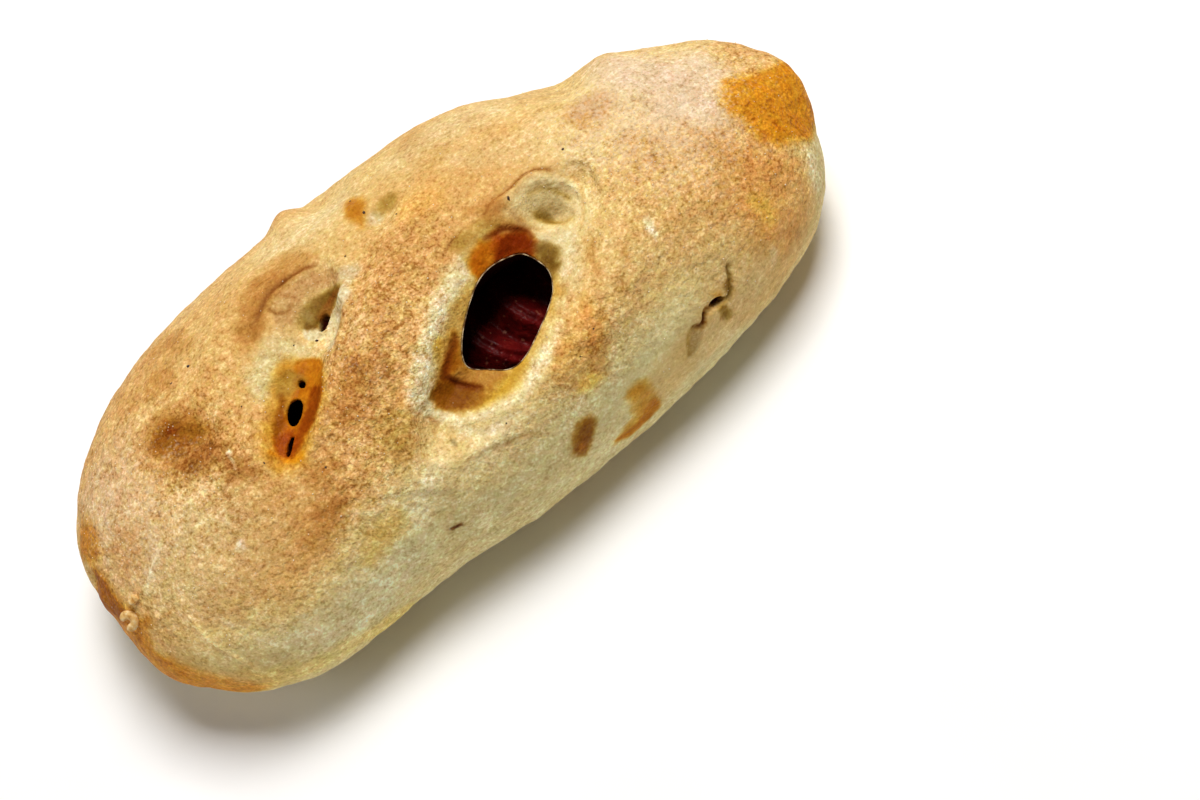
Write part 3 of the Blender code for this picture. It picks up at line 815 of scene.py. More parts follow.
# Stains, browned places and pale places, each over the ones before it
BLOTS = {
    "ridge between the slashes": Blot(TAN, 0.7, 3, 0, (
        (-8.5, 92), (-1.5, 91), (1, 86), (-0.5, 82), (-5.5, 76), (-10, 71), (-14.5, 65), (-18.5, 58),
        (-24.5, 53), (-30.5, 53), (-33, 61), (-31, 68), (-27, 75), (-22.5, 82), (-18, 87), (-13.5, 90))),
    "flour on the ridge": Blot(FLOUR_WHITE, 0.25, 2, 0, Oval(-12.5, 88, 40, 4, 2.5)),
    "brown of the ridge": Blot(LIGHT_BROWN, 0.6, 2.5, 0, Oval(-17, 73, 40, 7.5, 4)),
    "low end of the ridge": Blot(BROWN, 0.6, 2.5, 0, Oval(-34.5, 62, -20, 3.5, 2.5)),
    "smudge": Blot(DARK_BROWN, 0.55, 2.6, 0, Oval(-37, 51, -10, 3, 2)),
    "halo of the dark oval": Blot(BROWN, 0.7, 3.5, 0, Oval(-53, 97, -60, 9, 7.5)),
    "olive top of the oval": Blot(OLIVE_RUST, 0.75, 2, 0, (
        (-55.5, 106), (-50, 102), (-48, 99), (-47, 94), (-49.5, 94), (-52, 95), (-55, 96), (-57, 100))),
    "left spot of the oval": Blot(RED_BROWN, 0.6, 0.8, 0, Oval(-53, 102, -55, 1, 0.6)),
    "dark of the oval": Blot(DARK_BROWN, 0.7, 2.4, 0, (
        (-54.5, 98), (-53, 98), (-52, 94), (-49, 93), (-47, 90), (-49, 87), (-51.5, 86), (-54.5, 88),
        (-55.5, 92))),
    "brown right of the oval": Blot(DARK_BROWN, 0.6, 2.4, 0, (
        (-46.5, 86), (-45, 82), (-43.5, 78), (-44.5, 75), (-47, 76), (-49, 80), (-48.5, 84))),
    "ochre high on the left": Blot(BROWN, 0.6, 1.8, 0, (
        (-51.5, 126), (-48, 125), (-45.5, 122), (-46.5, 115), (-49, 112), (-51.5, 114), (-53, 119))),
    "brown left edge": Blot(BROWN, 0.55, 2.5, 0, (
        (-49, 135), (-45.5, 141), (-41, 132), (-40.5, 121), (-44.5, 122))),
    "floured left end": Blot(PINK_FLOUR, 0.6, 6, 0, (
        (-73.5, 131), (-64.5, 123), (-60, 116), (-62.5, 100), (-67.5, 85), (-75, 75), (-80, 81),
        (-79.5, 100), (-78, 122))),
    "grains on the left end": Blot(BROWN, 0.35, 2.5, 0, Oval(-74, 85, -90, 5.5, 4.5)),
    "floured right end": Blot(PINK_WHITE, 0.75, 4, 0, (
        (56, 137), (63.5, 123), (73.5, 110), (75.5, 94), (72.5, 85), (70, 73), (63.5, 78), (58, 88),
        (57.5, 97), (54, 112))),
    "dark right end": Blot(WARM_TAN, 0.65, 4, 0, (
        (66, 62), (73.5, 48), (77, 23), (72.5, 6), (66, 6), (59, 20), (58.5, 36), (60.5, 50))),
    "ochre in the right end": Blot(SUNNY, 0.6, 1.5, 0, Oval(63.5, 35, 80, 3.5, 2)),
    "pale rim of the right end": Blot(BRIGHT, 0.75, 1.5, 0, Oval(77.5, 20, 55, 4.5, 2.5)),
    "tan on the far side": Blot(BROWN, 0.75, 2.5, 0, Oval(49.5, 104, -15, 5, 4)),
    "brown on the far side": Blot(BROWN, 0.5, 2.5, 0, (
        (15, 136), (19.5, 142), (21.5, 129), (22.5, 118), (18, 116), (14.5, 124))),
    "cream streak": Blot(PALE_CREAM, 0.4, 2.5, 0, (
        (21, 115), (28.5, 114), (36, 110), (42.5, 114), (41, 100), (45, 89), (41.5, 87), (36, 94),
        (28, 102), (22.5, 107))),
    "gold on the far side": Blot(GOLD, 0.75, 2.5, 0, Oval(11.5, 106, -15, 5.5, 3.5)),
    "cream on the far side": Blot(PALE_CREAM, 0.55, 5, 0, Oval(24, 128, 0, 14, 6)),
    "cream over the flap": Blot(PALE_CREAM, 0.55, 5, 0, Oval(-9, 130, 0, 12, 5)),
    "grey dip on the far side": Blot(OLIVE_BROWN, 0.65, 1, 0.3, (
        (3.5, 116), (6, 117), (8, 116), (9.5, 114), (7.5, 112), (5, 114), (3.5, 114))),
    "pale foot of the dip": Blot(GREY_CREAM, 0.6, 0.8, 0, Oval(2.5, 114, 0, 2, 1.5)),
    "orange spot on the far side": Blot(CARAMEL, 0.8, 1.2, 0.4, (
        (0.5, 126), (2, 126), (3.5, 123), (3.5, 119), (2, 116), (0, 112), (0, 114), (-1, 118),
        (-0.5, 122))),
    "shade of the flap": Blot(BROWN, 0.7, 2.5, 0, (
        (-29.5, 102), (-33, 106), (-30.5, 112), (-25.5, 120), (-20.5, 124), (-15, 124), (-11, 114),
        (-14.5, 114), (-18, 114), (-22, 113), (-25, 108), (-27, 105))),
    # Painted shade in a band along the outside of the flap's crease
    "painted shade along the flap": Blot(DARK_BROWN, 0.4, 1.6, 0, (
        (-29.5, 104), (-28.5, 109), (-25.5, 112), (-22, 115), (-18, 116), (-14.5, 114), (-19, 113),
        (-22.5, 111), (-25.5, 108), (-28, 104))),
    "inside the flap": Blot(DULL_TAN, 0.75, 1.2, 0, (
        (-22, 111), (-18.5, 113), (-15, 112), (-10.5, 110), (-8.5, 104), (-11, 103), (-14.5, 107),
        (-18, 106), (-21, 103), (-24, 104))),
    "pale skin in the flap": Blot(GREY_CREAM, 0.7, 1.2, 0, Oval(-7.5, 102, -30, 2.5, 2)),
    "knobbly cream": Blot(VALLEY, 0.8, 1.8, 0, (
        (-28.5, 103), (-25.5, 102), (-23, 99), (-21.5, 94), (-22, 92), (-25.5, 94), (-28, 95), (-31, 92),
        (-34, 90), (-36, 90), (-36.5, 93), (-35.5, 97), (-32, 100))),
    "pit under the flap": Blot(DARK_OLIVE, 0.9, 0.9, 0.1, (
        (-21, 103), (-19, 105), (-16.5, 106), (-13.5, 106), (-11.5, 103), (-10.5, 100), (-12, 100),
        (-14, 101), (-15.5, 100), (-17.5, 100), (-19.5, 99), (-21, 100), (-21, 102))),
    # Painted shadow that the flap's edge casts into the pit
    "painted shadow of the flap in the pit": Blot(DARK_BROWN, 0.8, 0.7, 0.2, (
        (-17.5, 101.5), (-15, 103), (-12, 102.5), (-11, 100.5), (-14, 101), (-15.5, 100), (-17.5, 100))),
    "pale foot of the pit": Blot(OLIVE, 0.6, 0.7, 0.4, Oval(-19, 103, 75, 1.5, 1)),
    "white skin across the pit": Blot(SKIN_WHITE, 0.9, 0.35, 0.4, (
        (-21, 101), (-20.5, 100), (-19, 99), (-18, 98), (-19, 96), (-21, 97), (-22, 99))),
    "pale edge of the flap": Blot(SKIN_WHITE, 0.85, 0.6, 0.2, (
        (-9.5, 100), (-12.5, 100), (-15, 100), (-17, 98), (-19.5, 95), (-19.5, 90), (-16.5, 91), (-14, 94),
        (-11.5, 95), (-9.5, 96))),
    "ochre round the almond": Blot(OCHRE, 0.8, 1.6, 0.3, (
        (-28.5, 96), (-33.5, 91), (-37, 86), (-40, 82), (-41.5, 77), (-41, 71), (-37.5, 68), (-34, 70),
        (-29.5, 75), (-25.5, 80), (-22.5, 88), (-25, 94))),
    "almond": Blot(ORANGE, 0.95, 0.6, 0.6, (
        (-26.5, 94), (-24, 94), (-22, 91), (-22.5, 88), (-25.5, 81), (-29, 77), (-32.5, 74), (-36.5, 71),
        (-38.5, 72), (-39, 77), (-38, 81), (-35, 83), (-32, 86), (-29, 90))),
    "almond's olive end": Blot(OLIVE_BROWN, 0.6, 0.8, 0.5, (
        (-29, 94), (-26.5, 92), (-26, 89), (-29, 89), (-31.5, 89), (-33, 90))),
    "almond's upper right": Blot(CARAMEL, 0.6, 0.9, 0.6, (
        (-25.5, 94), (-22.5, 91), (-22.5, 88), (-25.5, 90), (-26, 92))),
    "almond's right side": Blot(RED_BROWN, 0.85, 0.7, 0.7, (
        (-26, 86), (-25, 83), (-27, 79), (-30, 76), (-33.5, 74), (-36.5, 72), (-37, 74), (-33.5, 77),
        (-31, 80), (-28, 84))),
    "almond's left side": Blot(OIL_BROWN, 0.65, 0.9, 0.5, (
        (-32, 90), (-32, 88), (-34, 84), (-36, 80), (-38, 78), (-38, 80), (-36, 84), (-34, 87))),
    "almond's low end": Blot(BURNT_ORANGE, 0.8, 0.9, 0.6, (
        (-35, 80), (-34, 78), (-34.5, 75), (-37, 72), (-38.5, 73), (-39, 76), (-38, 79))),
    "almond's bright tip": Blot(BRIGHT_ORANGE, 0.9, 0.5, 0.5, (
        (-40, 78), (-39.5, 75), (-38.5, 71), (-36.5, 69), (-34.5, 71), (-37, 71.5), (-38.5, 73),
        (-39.3, 77))),
    "pinkish above the crease": Blot(TAN, 0.7, 1.5, 0, (
        (17, 100), (23.5, 101), (27, 98), (24.5, 94), (19, 93), (15, 94), (12.5, 96))),
    "brown left of the crater": Blot(BROWN, 0.75, 1, 0, (
        (19, 93), (23.5, 93), (25, 91), (25.5, 87), (23, 87), (19.5, 89))),
    "cream round the crater": Blot(CREAM, 0.75, 1.5, 0, (
        (22, 90), (26.5, 92), (30.5, 93), (34.5, 92), (38, 88), (38, 80), (36, 74), (33, 71), (29.5, 74),
        (27, 81), (25.5, 87))),
    "crater skin": Blot(GREEN_CREAM, 0.8, 0.6, 0.3, (
        (28, 92), (31, 92), (33.5, 90), (36, 88), (36.5, 84), (36, 80), (34, 78), (32, 78), (29.5, 81),
        (28.5, 85), (28, 88), (28, 89), (28, 90))),
    "grey floor of the crater": Blot(OLIVE, 0.2, 1, 0, (
        (28.5, 90), (30.5, 90), (33, 90), (34.5, 86), (34.5, 82), (33.5, 79), (31.5, 79), (29.5, 83),
        (28, 87))),
    "crater's dark foot": Blot(DARK_OLIVE, 0.65, 0.8, 0.1, (
        (28, 88), (29.5, 87), (30, 84), (30.5, 81), (28.5, 84), (27.5, 87))),
    "cream ring": Blot(PALE_VALLEY, 0.85, 1.6, 0, (
        (12, 89), (5, 86), (-2.5, 78), (-9.5, 69), (-14, 58), (-9.5, 46), (-0.5, 42), (8.5, 44),
        (17.5, 50), (25, 58), (28.5, 64), (31, 76), (24, 86), (17.5, 89))),
    # The ring's left wall, its cream raised as painted light
    "left side of the ring with painted light": Blot(WALL_CREAM_LIT, 0.5, 1.4, 0, (
        (4, 84), (-3, 78), (-10, 69), (-13.5, 60), (-11.5, 50), (-9.5, 48), (-9.5, 56), (-7.5, 64),
        (-3, 72), (1, 76), (6, 80))),
    "tan in the right side of the ring": Blot(TAN, 0.6, 1.5, 0, Oval(22, 57, 40, 5, 1)),
    "amber ring": Blot(AMBER, 0.8, 1.1, 0.3, (
        (10, 81), (5, 79), (1, 75), (-2.5, 71), (-6.5, 64), (-9.5, 56), (-8, 48), (-2, 44), (4, 44),
        (9, 48), (15, 51), (20, 57), (22.5, 60), (24, 66), (20.5, 79))),
    "yellow right of the pocket": Blot(YELLOW_AMBER, 0.7, 1, 0.5, (
        (-1.5, 47), (2, 47), (5, 48), (8.5, 50), (9, 48), (6, 46), (2, 44), (-1.5, 44), (-4.5, 46),
        (-5, 47))),
    "oily fringe": Blot(OLIVE_BROWN, 0.6, 1.4, 0.2, (
        (12, 92), (16.5, 92), (20, 91), (23, 88), (20, 88), (16, 88), (12.5, 88), (11, 90))),
    "oil above the hole": Blot(ORANGE, 0.95, 1.2, 0.6, (
        (11, 84), (12.5, 87), (15, 88), (17, 88), (19.5, 88), (21.5, 86), (24, 84), (24, 80), (22, 75),
        (20.5, 78), (17.5, 80), (14.5, 80), (11, 80))),
    "deep oil": Blot(OIL_RED, 0.8, 1.4, 0.6, (
        (18, 86), (19.5, 87), (22.5, 86), (23.5, 82), (24, 79), (22.5, 77), (20.5, 79), (18, 81),
        (16, 82))),
    "vivid oil": Blot(HOT_ORANGE, 0.6, 1.3, 0.6, (
        (11.5, 84), (13.5, 86), (16, 87), (18.5, 86), (17, 84), (14.5, 82), (11.5, 82))),
    "olive corner": Blot(DARK_OLIVE, 0.85, 1.1, 0.2, (
        (24, 79), (25.5, 77), (27, 73), (25.5, 68), (23, 65), (22.3, 68), (22.8, 72), (23, 76))),
    # The pocket's brown is oil stain, darkened as painted shade of the deep pocket
    "pocket": Blot(POCKET_BROWN, 0.95, 1.5, 0.5, (
        (1.5, 71), (-1.5, 68), (-4, 64), (-7, 60), (-9.5, 57), (-9, 52), (-6.5, 48), (-2.5, 48), (2, 49),
        (4, 50), (-0.5, 56), (-0.5, 61), (0.5, 66))),
    "strip left of the pocket": Blot(CARAMEL, 0.7, 0.9, 0.4, (
        (0.5, 68), (-1.5, 66), (-3.5, 65), (-5, 61), (-4.5, 59), (-1.5, 60), (0, 64))),
    "brown end of the pocket": Blot(OIL_BROWN, 0.75, 1.2, 0.4, (
        (-7, 60), (-5, 58), (-4.5, 54), (-5.5, 49), (-8, 50), (-9.3, 54), (-9, 58))),
    "olive floor of the pocket": Blot(OLIVE_RUST, 0.8, 1.5, 0.3, (
        (-7, 60), (-5, 58), (-1, 50), (-1, 48), (-2.5, 47), (-6.5, 48), (-9, 52), (-9, 58))),
    "skin under the hole": Blot(TAN, 0.65, 0.8, 0.3, (
        (-1.5, 60), (-1, 56), (4, 50), (1.5, 49), (-1, 50), (-3.5, 55), (-4.5, 59), (-2.5, 60))),
    "blotch right of the hole": Blot(GOLD, 0.65, 2.2, 0, (
        (17.5, 51), (20.5, 54), (24, 55), (25.5, 53), (25, 46), (22.5, 37), (19.5, 29), (15.5, 28),
        (12.5, 31), (11.5, 39), (13.5, 46))),
    "red of the blotch": Blot(WARM_TAN, 0.5, 1.5, 0, Oval(22.5, 47, 65, 3.5, 1.5)),
    "ochre under the blotch": Blot(SUNNY, 0.6, 1.2, 0, Oval(16, 30, -15, 2.5, 1.5)),
    "orange end patch": Blot(PATCH_ORANGE, 0.85, 1.6, 0.2, (
        (71.5, 85), (74, 88), (76.5, 88), (80, 86), (84, 88), (84.5, 79), (85, 59), (85, 30), (83.5, 26),
        (79, 41), (76, 48), (72, 55), (71.5, 62), (71.5, 69), (70, 76), (70.5, 81))),
    "gold in the end patch": Blot(OCHRE, 0.6, 1.5, 0.2, Oval(74, 81, 40, 3.5, 1.5)),
    "brown edge of the end patch": Blot(OIL_BROWN, 0.5, 1, 0.2, Oval(84.5, 74, -70, 3.5, 0)),
    "red spot in the end patch": Blot(RUST, 0.7, 0.5, 0.2, Oval(72.5, 58, 35, 1.5, 0.5)),
    "pale oval": Blot(SKIN_WHITE, 0.8, 0.5, 0, Oval(43, 59, 75, 2.5, 0.8)),
    "pale oval by the end": Blot(BRIGHT, 0.95, 0.4, 0, Oval(60, 13, 75, 3, 1)),
    "olive oval on the near side": Blot(OLIVE_RUST, 0.8, 1.1, 0.2, (
        (7.5, 17), (10, 19), (12.5, 18), (12.5, 13), (10, 8), (7.5, 4), (5.5, 8), (6, 12))),
    "orange foot of the oval": Blot(CARAMEL, 0.6, 0.6, 0.2, Oval(7.5, 9, 60, 1.5, 1)),
    "orange on the near side": Blot(OCHRE, 0.85, 1.3, 0.2, (
        (21, 15), (25, 14), (25.5, 4), (24.5, -2), (21.5, -5), (18, -6), (13.5, -4), (16.5, 0), (19.5, 1),
        (20, 8))),
    "its red edge": Blot(ORANGE, 0.85, 0.7, 0.4, (
        (13.5, -2), (16.5, -3), (19, -3), (22.5, 0), (25, 2), (25.5, -3), (23, -7), (19.5, -9),
        (16.5, -8))),
    "brown spot on the near side": Blot(SPOT_BROWN, 1, 0.4, 0, Oval(-21, 14, -15, 1.5, 0.5)),
    "grey spot below the folds": Blot(OLIVE, 0.8, 0.4, 0, Oval(-11.5, 41, 50, 0.5, 0.5)),
    "yellow low edge": Blot(YELLOW_STRAW, 0.7, 1.5, 0, Oval(-42.5, 350, -30, 7.5, 3.5)),
    # Painted light: the low left of the near side, lighter where more light falls
    "painted light low on the left": Blot(BRIGHT, 0.45, 5, 0, Oval(-44, 12, 10, 16, 7)),
    "olive in the crack": Blot(POCKET_OLIVE, 0.85, 0.5, 0.1, (
        (45, 15.5), (46.5, 14), (47, 8), (46, 6), (44.5, 10))),
    "cream round the crack": Blot(BRIGHT, 0.45, 3, 0, (
        (52.5, 28), (58, 14), (54, 2), (44, -4), (36, -4), (38, 6), (42, 13), (47, 10), (50, 20))),
    "brown beside the crack": Blot(DARK_OLIVE, 0.8, 0.5, 0.1, ((48.5, 23), (50, 22), (48.5, 16), (48, 19))),
    "ochre above the crack": Blot(OCHRE, 0.6, 0.7, 0, ((45.5, 23), (47, 21), (46.5, 19), (45.5, 21))),
    "shade of the crack's foot": Blot(OLIVE, 0.8, 0.5, 0, (
        (38.5, 18), (40.5, 15), (39, 10), (37, 6), (34.5, 6), (35.5, 10), (37, 13))),
    "caramel rim": Blot(AMBER_BROWN, 0.92, 1.7, 0.1, (
        (-82, 97), (-81.3, 87), (-80.8, 73), (-80.2, 64), (-80.5, 52), (-81.5, 40), (-79.5, 31), (-77, 20),
        (-73, 10), (-69, 0), (-73, -14), (-79, -20), (-83, -18), (-85.6, 0), (-85.8, 40), (-85.8, 80),
        (-85, 97))),
    "gold under the left end": Blot(GOLD, 0.45, 2.5, 0.2, (
        (-76.5, 33), (-74, 22), (-69.5, 16), (-65, 2), (-71.5, -4), (-76.5, 4), (-78.5, 19))),
    "yellow low on the left": Blot(YELLOW_STRAW, 0.5, 2.5, 0, (
        (-70, 19), (-63.5, 10), (-54.5, 6), (-48.5, 1), (-50, -6), (-59, -5), (-68.5, -3))),
    "caramel's dark edge": Blot(OIL_BROWN, 0.5, 1.4, 0.2, (
        (-82, 96), (-81.5, 87), (-81.5, 73), (-82.5, 64), (-84, 60), (-85.5, 80), (-84.5, 96))),
    "rust at the left end": Blot(CARAMEL, 0.7, 1.8, 0.1, (
        (-78.5, 120), (-76.5, 108), (-78, 98), (-80.5, 97), (-83, 117), (-81.5, 122))),
    "cream dot": Blot(FLOUR_WHITE, 0.8, 0.5, 0, Oval(-55, 62, -50, 1, 1)),
    "pale dot": Blot(FLOUR_WHITE, 0.8, 0.4, 0, Oval(-46, 85, -60, 0.5, 0.5)),
    "brown on the middle ridge": Blot(BROWN, 0.8, 3, 0, Oval(-21, 75, 40, 7, 3.5)),
    "olive below the ring": Blot(OLIVE_BROWN, 0.5, 2.5, 0, Oval(-19, 57, 60, 5, 2.5)),
    "brown below the dark oval": Blot(BROWN, 0.5, 2.5, 0, Oval(-41.5, 48, 30, 5.5, 3)),
    # A pale strip, painted brighter still as painted light on the near side
    "pale strip low in the middle with painted light": Blot(BRIGHT, 0.75, 2.5, 0, Oval(-21, 34, 30, 7, 2.5)),
    "ochre below the pale strip": Blot(AMBER, 0.6, 2.5, 0, Oval(-33, 30, 20, 6, 2.5)),
    # Pale strips, painted brighter still as painted light on the near side
    "pale strip near the left end with painted light": Blot(BRIGHT, 0.5, 3, 0, Oval(-57, 24, 0, 6, 3)),
    "pale strip below the crack with painted light": Blot(BRIGHT, 0.5, 3, 0, Oval(-6, 32, 0, 6, 2.5)),
    "tan at the rim of the left end": Blot(TAN, 0.6, 1.5, 0, Oval(-79, 44, -70, 5, 1.2)),
    "amber by the curled crumb": Blot(CARAMEL, 0.7, 1.2, 0.2, Oval(-79.3, 57, 30, 1.5, 1)),
    "beige over the left end": Blot(GREY_CREAM, 0.3, 6, 0, Oval(-62, 66, 0, 15, 11)),
    "brown by the flap": Blot(BROWN, 0.5, 2, 0, Oval(-20, 116, 0, 3.5, 2.5)),
    "olive wall left of the hole": Blot(YELLOW_AMBER, 0.5, 1, 0, Oval(-2.9, 70, 60, 2, 0.8)),
    "tan between the slashes": Blot(BROWN, 0.3, 3, 0, Oval(-10, 86, 40, 5, 3)),
    "warm low right side": Blot(WARM_TAN, 0.28, 3, 0, (
        (25, 14), (38, 20), (54, 31), (66.5, 24), (68, 0), (59, -8), (44.5, -3), (33.5, -2), (25, -3),
        (21, 2))),
}

# Burnt specks of the crust, (x, girth, size)
SPECKS = (
    (-43, 113.6, 0.8), (-47.6, 114, 0.8), (-39.2, 92, 0.6), (-33.3, 62.4, 0.8), (-1.4, 38.4, 0.7),
    (2.1, 116.4, 0.9), (6.8, 108, 0.8), (22.3, 45.2, 0.6), (17.4, 40.4, 0.9), (39.6, 95.2, 0.8),
    (25.4, 92, 1), (-20.5, 94.8, 0.8), (-23.8, 96.8, 0.8), (1.4, 125, 0.9), (55, 90.4, 0.6),
    (-6, 107, 0.7), (-42, 76, 0.6),
)

BLOT_CORNERS = 24


def corners_of(place):
    """Points round the edge of an Oval or of a closed line of (x, girth) points."""
    if not isinstance(place, Oval):
        return np.array([spot(x, girth) for x, girth in curve_through(place, 3 * len(place), closed=True)])
    middle, along, across, _ = axes_at(place)
    turn = np.linspace(0, 2 * pi, BLOT_CORNERS, endpoint=False)[:, None]
    return middle + np.cos(turn) * along * place.half_length + np.sin(turn) * across * place.half_width


# Any direction that never points straight out of a patch of crust
ASLANT = (0.3, 0.5, 0.81)


def inside_distance(points, corners, reach):
    """How far each point lies inside a closed line, less than zero outside it, down to -reach."""
    centre = corners.mean(0)
    out = outward(corners).mean(0)
    out /= np.linalg.norm(out)
    side = np.cross(out, ASLANT)
    side /= np.linalg.norm(side)
    flat = np.stack([side, np.cross(out, side)], axis=-1)
    radius = np.linalg.norm(corners - centre, axis=1).max() + reach
    close = np.flatnonzero(np.linalg.norm(points - centre, axis=1) < radius)
    place = (points[close] - centre) @ flat
    bend = (corners - centre) @ flat
    distance = np.full(len(close), radius)
    inside = np.zeros(len(close), bool)
    for start, end in zip(bend, np.roll(bend, -1, axis=0)):
        run = end - start
        t = np.clip((place - start) @ run / max(run @ run, TINY), 0, 1)
        distance = np.minimum(distance, np.linalg.norm(place - start - t[:, None] * run, axis=1))
        crosses = (start[1] > place[:, 1]) != (end[1] > place[:, 1])
        rise = end[1] - start[1] if end[1] != start[1] else TINY
        inside ^= crosses & (place[:, 0] < start[0] + (place[:, 1] - start[1]) * run[0] / rise)
    signed = np.full(len(points), -float(reach))
    signed[close] = np.where(inside, distance, -distance)
    return signed


def rim_of_the_hole(points):
    """The thin torn edge of the main hole, which catches the light."""
    corners = over_slash(MAIN_SLASH, curve_through(MAIN_RIM, 4 * len(MAIN_RIM), closed=True), 0)
    return RIM_STRENGTH * ridge(inside_distance(points, corners, RIM_REACH), RIM_WIDTH)


def added(points, ovals, softness):
    return sum(oval.amount * patch(points, oval, softness) for oval in ovals)


def paint(mesh, name, channels):
    """Stores four fields as one colour attribute, whose fourth is its alpha."""
    values = np.stack(channels, axis=-1).astype(np.float32)
    attribute = mesh.attributes.new(name, "FLOAT_COLOR", "POINT")
    attribute.data.foreach_set("color", values.ravel())


def baked_tone(browning):
    levels = [level for level, _ in BAKED]
    tones = np.array([linear(*tone)[:3] for _, tone in BAKED])
    return np.stack([np.interp(browning, levels, tones[:, k]) for k in range(3)], axis=-1)


# How the crust browns: its mean, more on high places and in clouds, less on the near side
MEAN_BROWNING = 0.5
BROWNING_BY_HEIGHT = 0.03
CLOUD_BROWNING = 0.2
NEAR_PALENESS = 0.28
NEAR_MIDDLE_PALENESS = 0.2
# The girths between which the near side fades out upwards and under the loaf
NEAR_FADE = (18, 56)
UNDER_FADE = (186, 240)
UNDER_SHARE = 0.8
# Where the middle of the near side lies, and how far it reaches before it fades out
MIDDLE_X = -8
MIDDLE_FADE = (45, 80)
# How far the noise moves the edge of the near side, in degrees, and how smooth that side is
NEAR_WANDERING = 7
NEAR_SMOOTHNESS = 0.35
# The noises of the crust: size and seed
RAGGED = (1.5, 24)
FINELY_RAGGED = (0.8, 25)
UNEVEN = (2.6, 26)
WANDERING = (14.0, 31)
BROWN_CLOUDS = (16.0, 33)
SMALL_CLOUDS = (7.0, 51)
NEAR_SPOTS = (3.0, 52)
WAVE_SIZE = 5.0
WAVE_SEEDS = (21, 22, 23)
BLOT_UNEVENNESS = 0.2
# How far waves move a blot's edge and how ragged it is, for each millimetre of its blur and at most
WAVY_BY_BLUR = 0.3
MOST_WAVY = 0.6
RAGGED_BY_BLUR = 0.6
MOST_RAGGED = 1
BROWNING_WAVES = 1.6
# How soft the ovals of browning and flour are, and those of the grain
FIELD_SOFTNESS = 0.8
GRAIN_SOFTNESS = 0.6
# The lowest and the highest relief that the browning follows
BROWNING_RELIEF = (-4, 3)
NEAR_SPOT_TINT = 0.1
# The base, where it browns on the oven's floor
BASE_SHARE = 0.6
BASE_FADE = (0.5, -1.5)
MEAN_FLOUR = 0.05
# The heights between which loose flour begins
FLOUR_FADE = (20, 30)
# How much the small clouds take from red, green and blue
CLOUD_TINT = (0.07, 0.12, 0.18)
# The depths below the skin over which the walls of the holes darken to the oily inside, oil stain and
# painted shade
INSIDE_DEPTH = (0.5, 1.6)


def paint_crust(mesh, skin):
    """Stores the crust's tone and gloss, and how grainy, floured and deep inside it is.

    Gives how likely a loose grain of flour lies on each vertex.
    """
    rest, depth = skin.look_up(mesh_points(mesh))
    girth, x = girth_of(rest), rest[:, 0]
    wavy = np.stack([value_noise(rest, WAVE_SIZE, seed) for seed in WAVE_SEEDS], axis=-1)
    ragged = 0.6 * value_noise(rest, *RAGGED) + 0.4 * value_noise(rest, *FINELY_RAGGED)
    uneven = 1 + BLOT_UNEVENNESS * value_noise(rest, *UNEVEN)

    def laid(share, colour):
        """The tone with a colour laid over it, as far as share says."""
        return tone + (np.log(linear(*colour)[:3]) - tone) * share[:, None]

    around = np.where(girth < -90, girth + 360, girth) + NEAR_WANDERING * value_noise(rest, *WANDERING)
    near_side = 1 - smoothstep(*NEAR_FADE, around) + UNDER_SHARE * smoothstep(*UNDER_FADE, around)
    middle = 1 - smoothstep(*MIDDLE_FADE, np.abs(x - MIDDLE_X))
    browning = MEAN_BROWNING + BROWNING_BY_HEIGHT * np.clip(relief(rest), *BROWNING_RELIEF)
    browning += CLOUD_BROWNING * cloudy(rest, *BROWN_CLOUDS)
    browning -= near_side * (NEAR_PALENESS + NEAR_MIDDLE_PALENESS * middle)
    browning += added(rest + BROWNING_WAVES * wavy, BROWNING, FIELD_SOFTNESS)
    tone = np.log(baked_tone(browning))
    gloss = np.zeros(len(rest))
    smooth = NEAR_SMOOTHNESS * near_side
    for blot in BLOTS.values():
        moved = rest + min(MOST_WAVY, WAVY_BY_BLUR * blot.blur) * wavy
        inward = inside_distance(moved, corners_of(blot.place), 2 * blot.blur)
        inward += min(MOST_RAGGED, RAGGED_BY_BLUR * blot.blur) * ragged
        share = np.minimum(1, blot.strength * uneven * smoothstep(-blot.blur, blot.blur, inward))
        tone = laid(share, blot.tone)
        gloss += (blot.gloss - gloss) * share
        smooth = np.maximum(smooth * (1 - 0.5 * share), blot.gloss * share)
    # Each fold lays its tone along its line; the dark tones of the creases are painted shade
    for fold in FOLDS.values():
        distance, _, way = beside_line(rest, fold.points, 4 * fold.tone_width)
        share = fold.strength * uneven * faded_ends(way) * ridge(distance, fold.tone_width)
        tone = laid(np.minimum(1, share), fold.tone)
    tone = laid(rim_of_the_hole(rest), RIM_TONE)
    base = smoothstep(*BASE_FADE, rest[:, 2])
    tone = laid(BASE_SHARE * base, CARAMEL)
    flour = np.clip(MEAN_FLOUR + added(rest + wavy, FLOURED, FIELD_SOFTNESS), 0, 1)
    flour *= np.clip(1 - 2 * gloss, 0, 1)
    inside = smoothstep(*INSIDE_DEPTH, depth)
    grainy = (1 - smooth) * (1 + added(rest, GRAININESS, GRAIN_SOFTNESS))
    tone += NEAR_SPOT_TINT * near_side[:, None] * value_noise(rest, *NEAR_SPOTS)[:, None]
    tone -= cloudy(rest, *SMALL_CLOUDS)[:, None] * CLOUD_TINT
    paint(mesh, "tone", (*np.exp(tone).T, gloss))
    paint(mesh, "touch", (grainy, flour, inside, np.ones(len(rest))))
    return flour * (1 - inside) * smoothstep(*FLOUR_FADE, rest[:, 2])


# The slashes with their edges, where the mesh stays fine
FINE_PLACES = (Oval(12, 66, 24, 34, 16), Oval(-25, 94, 45, 24, 12))
FINE_EDGE = 0.35
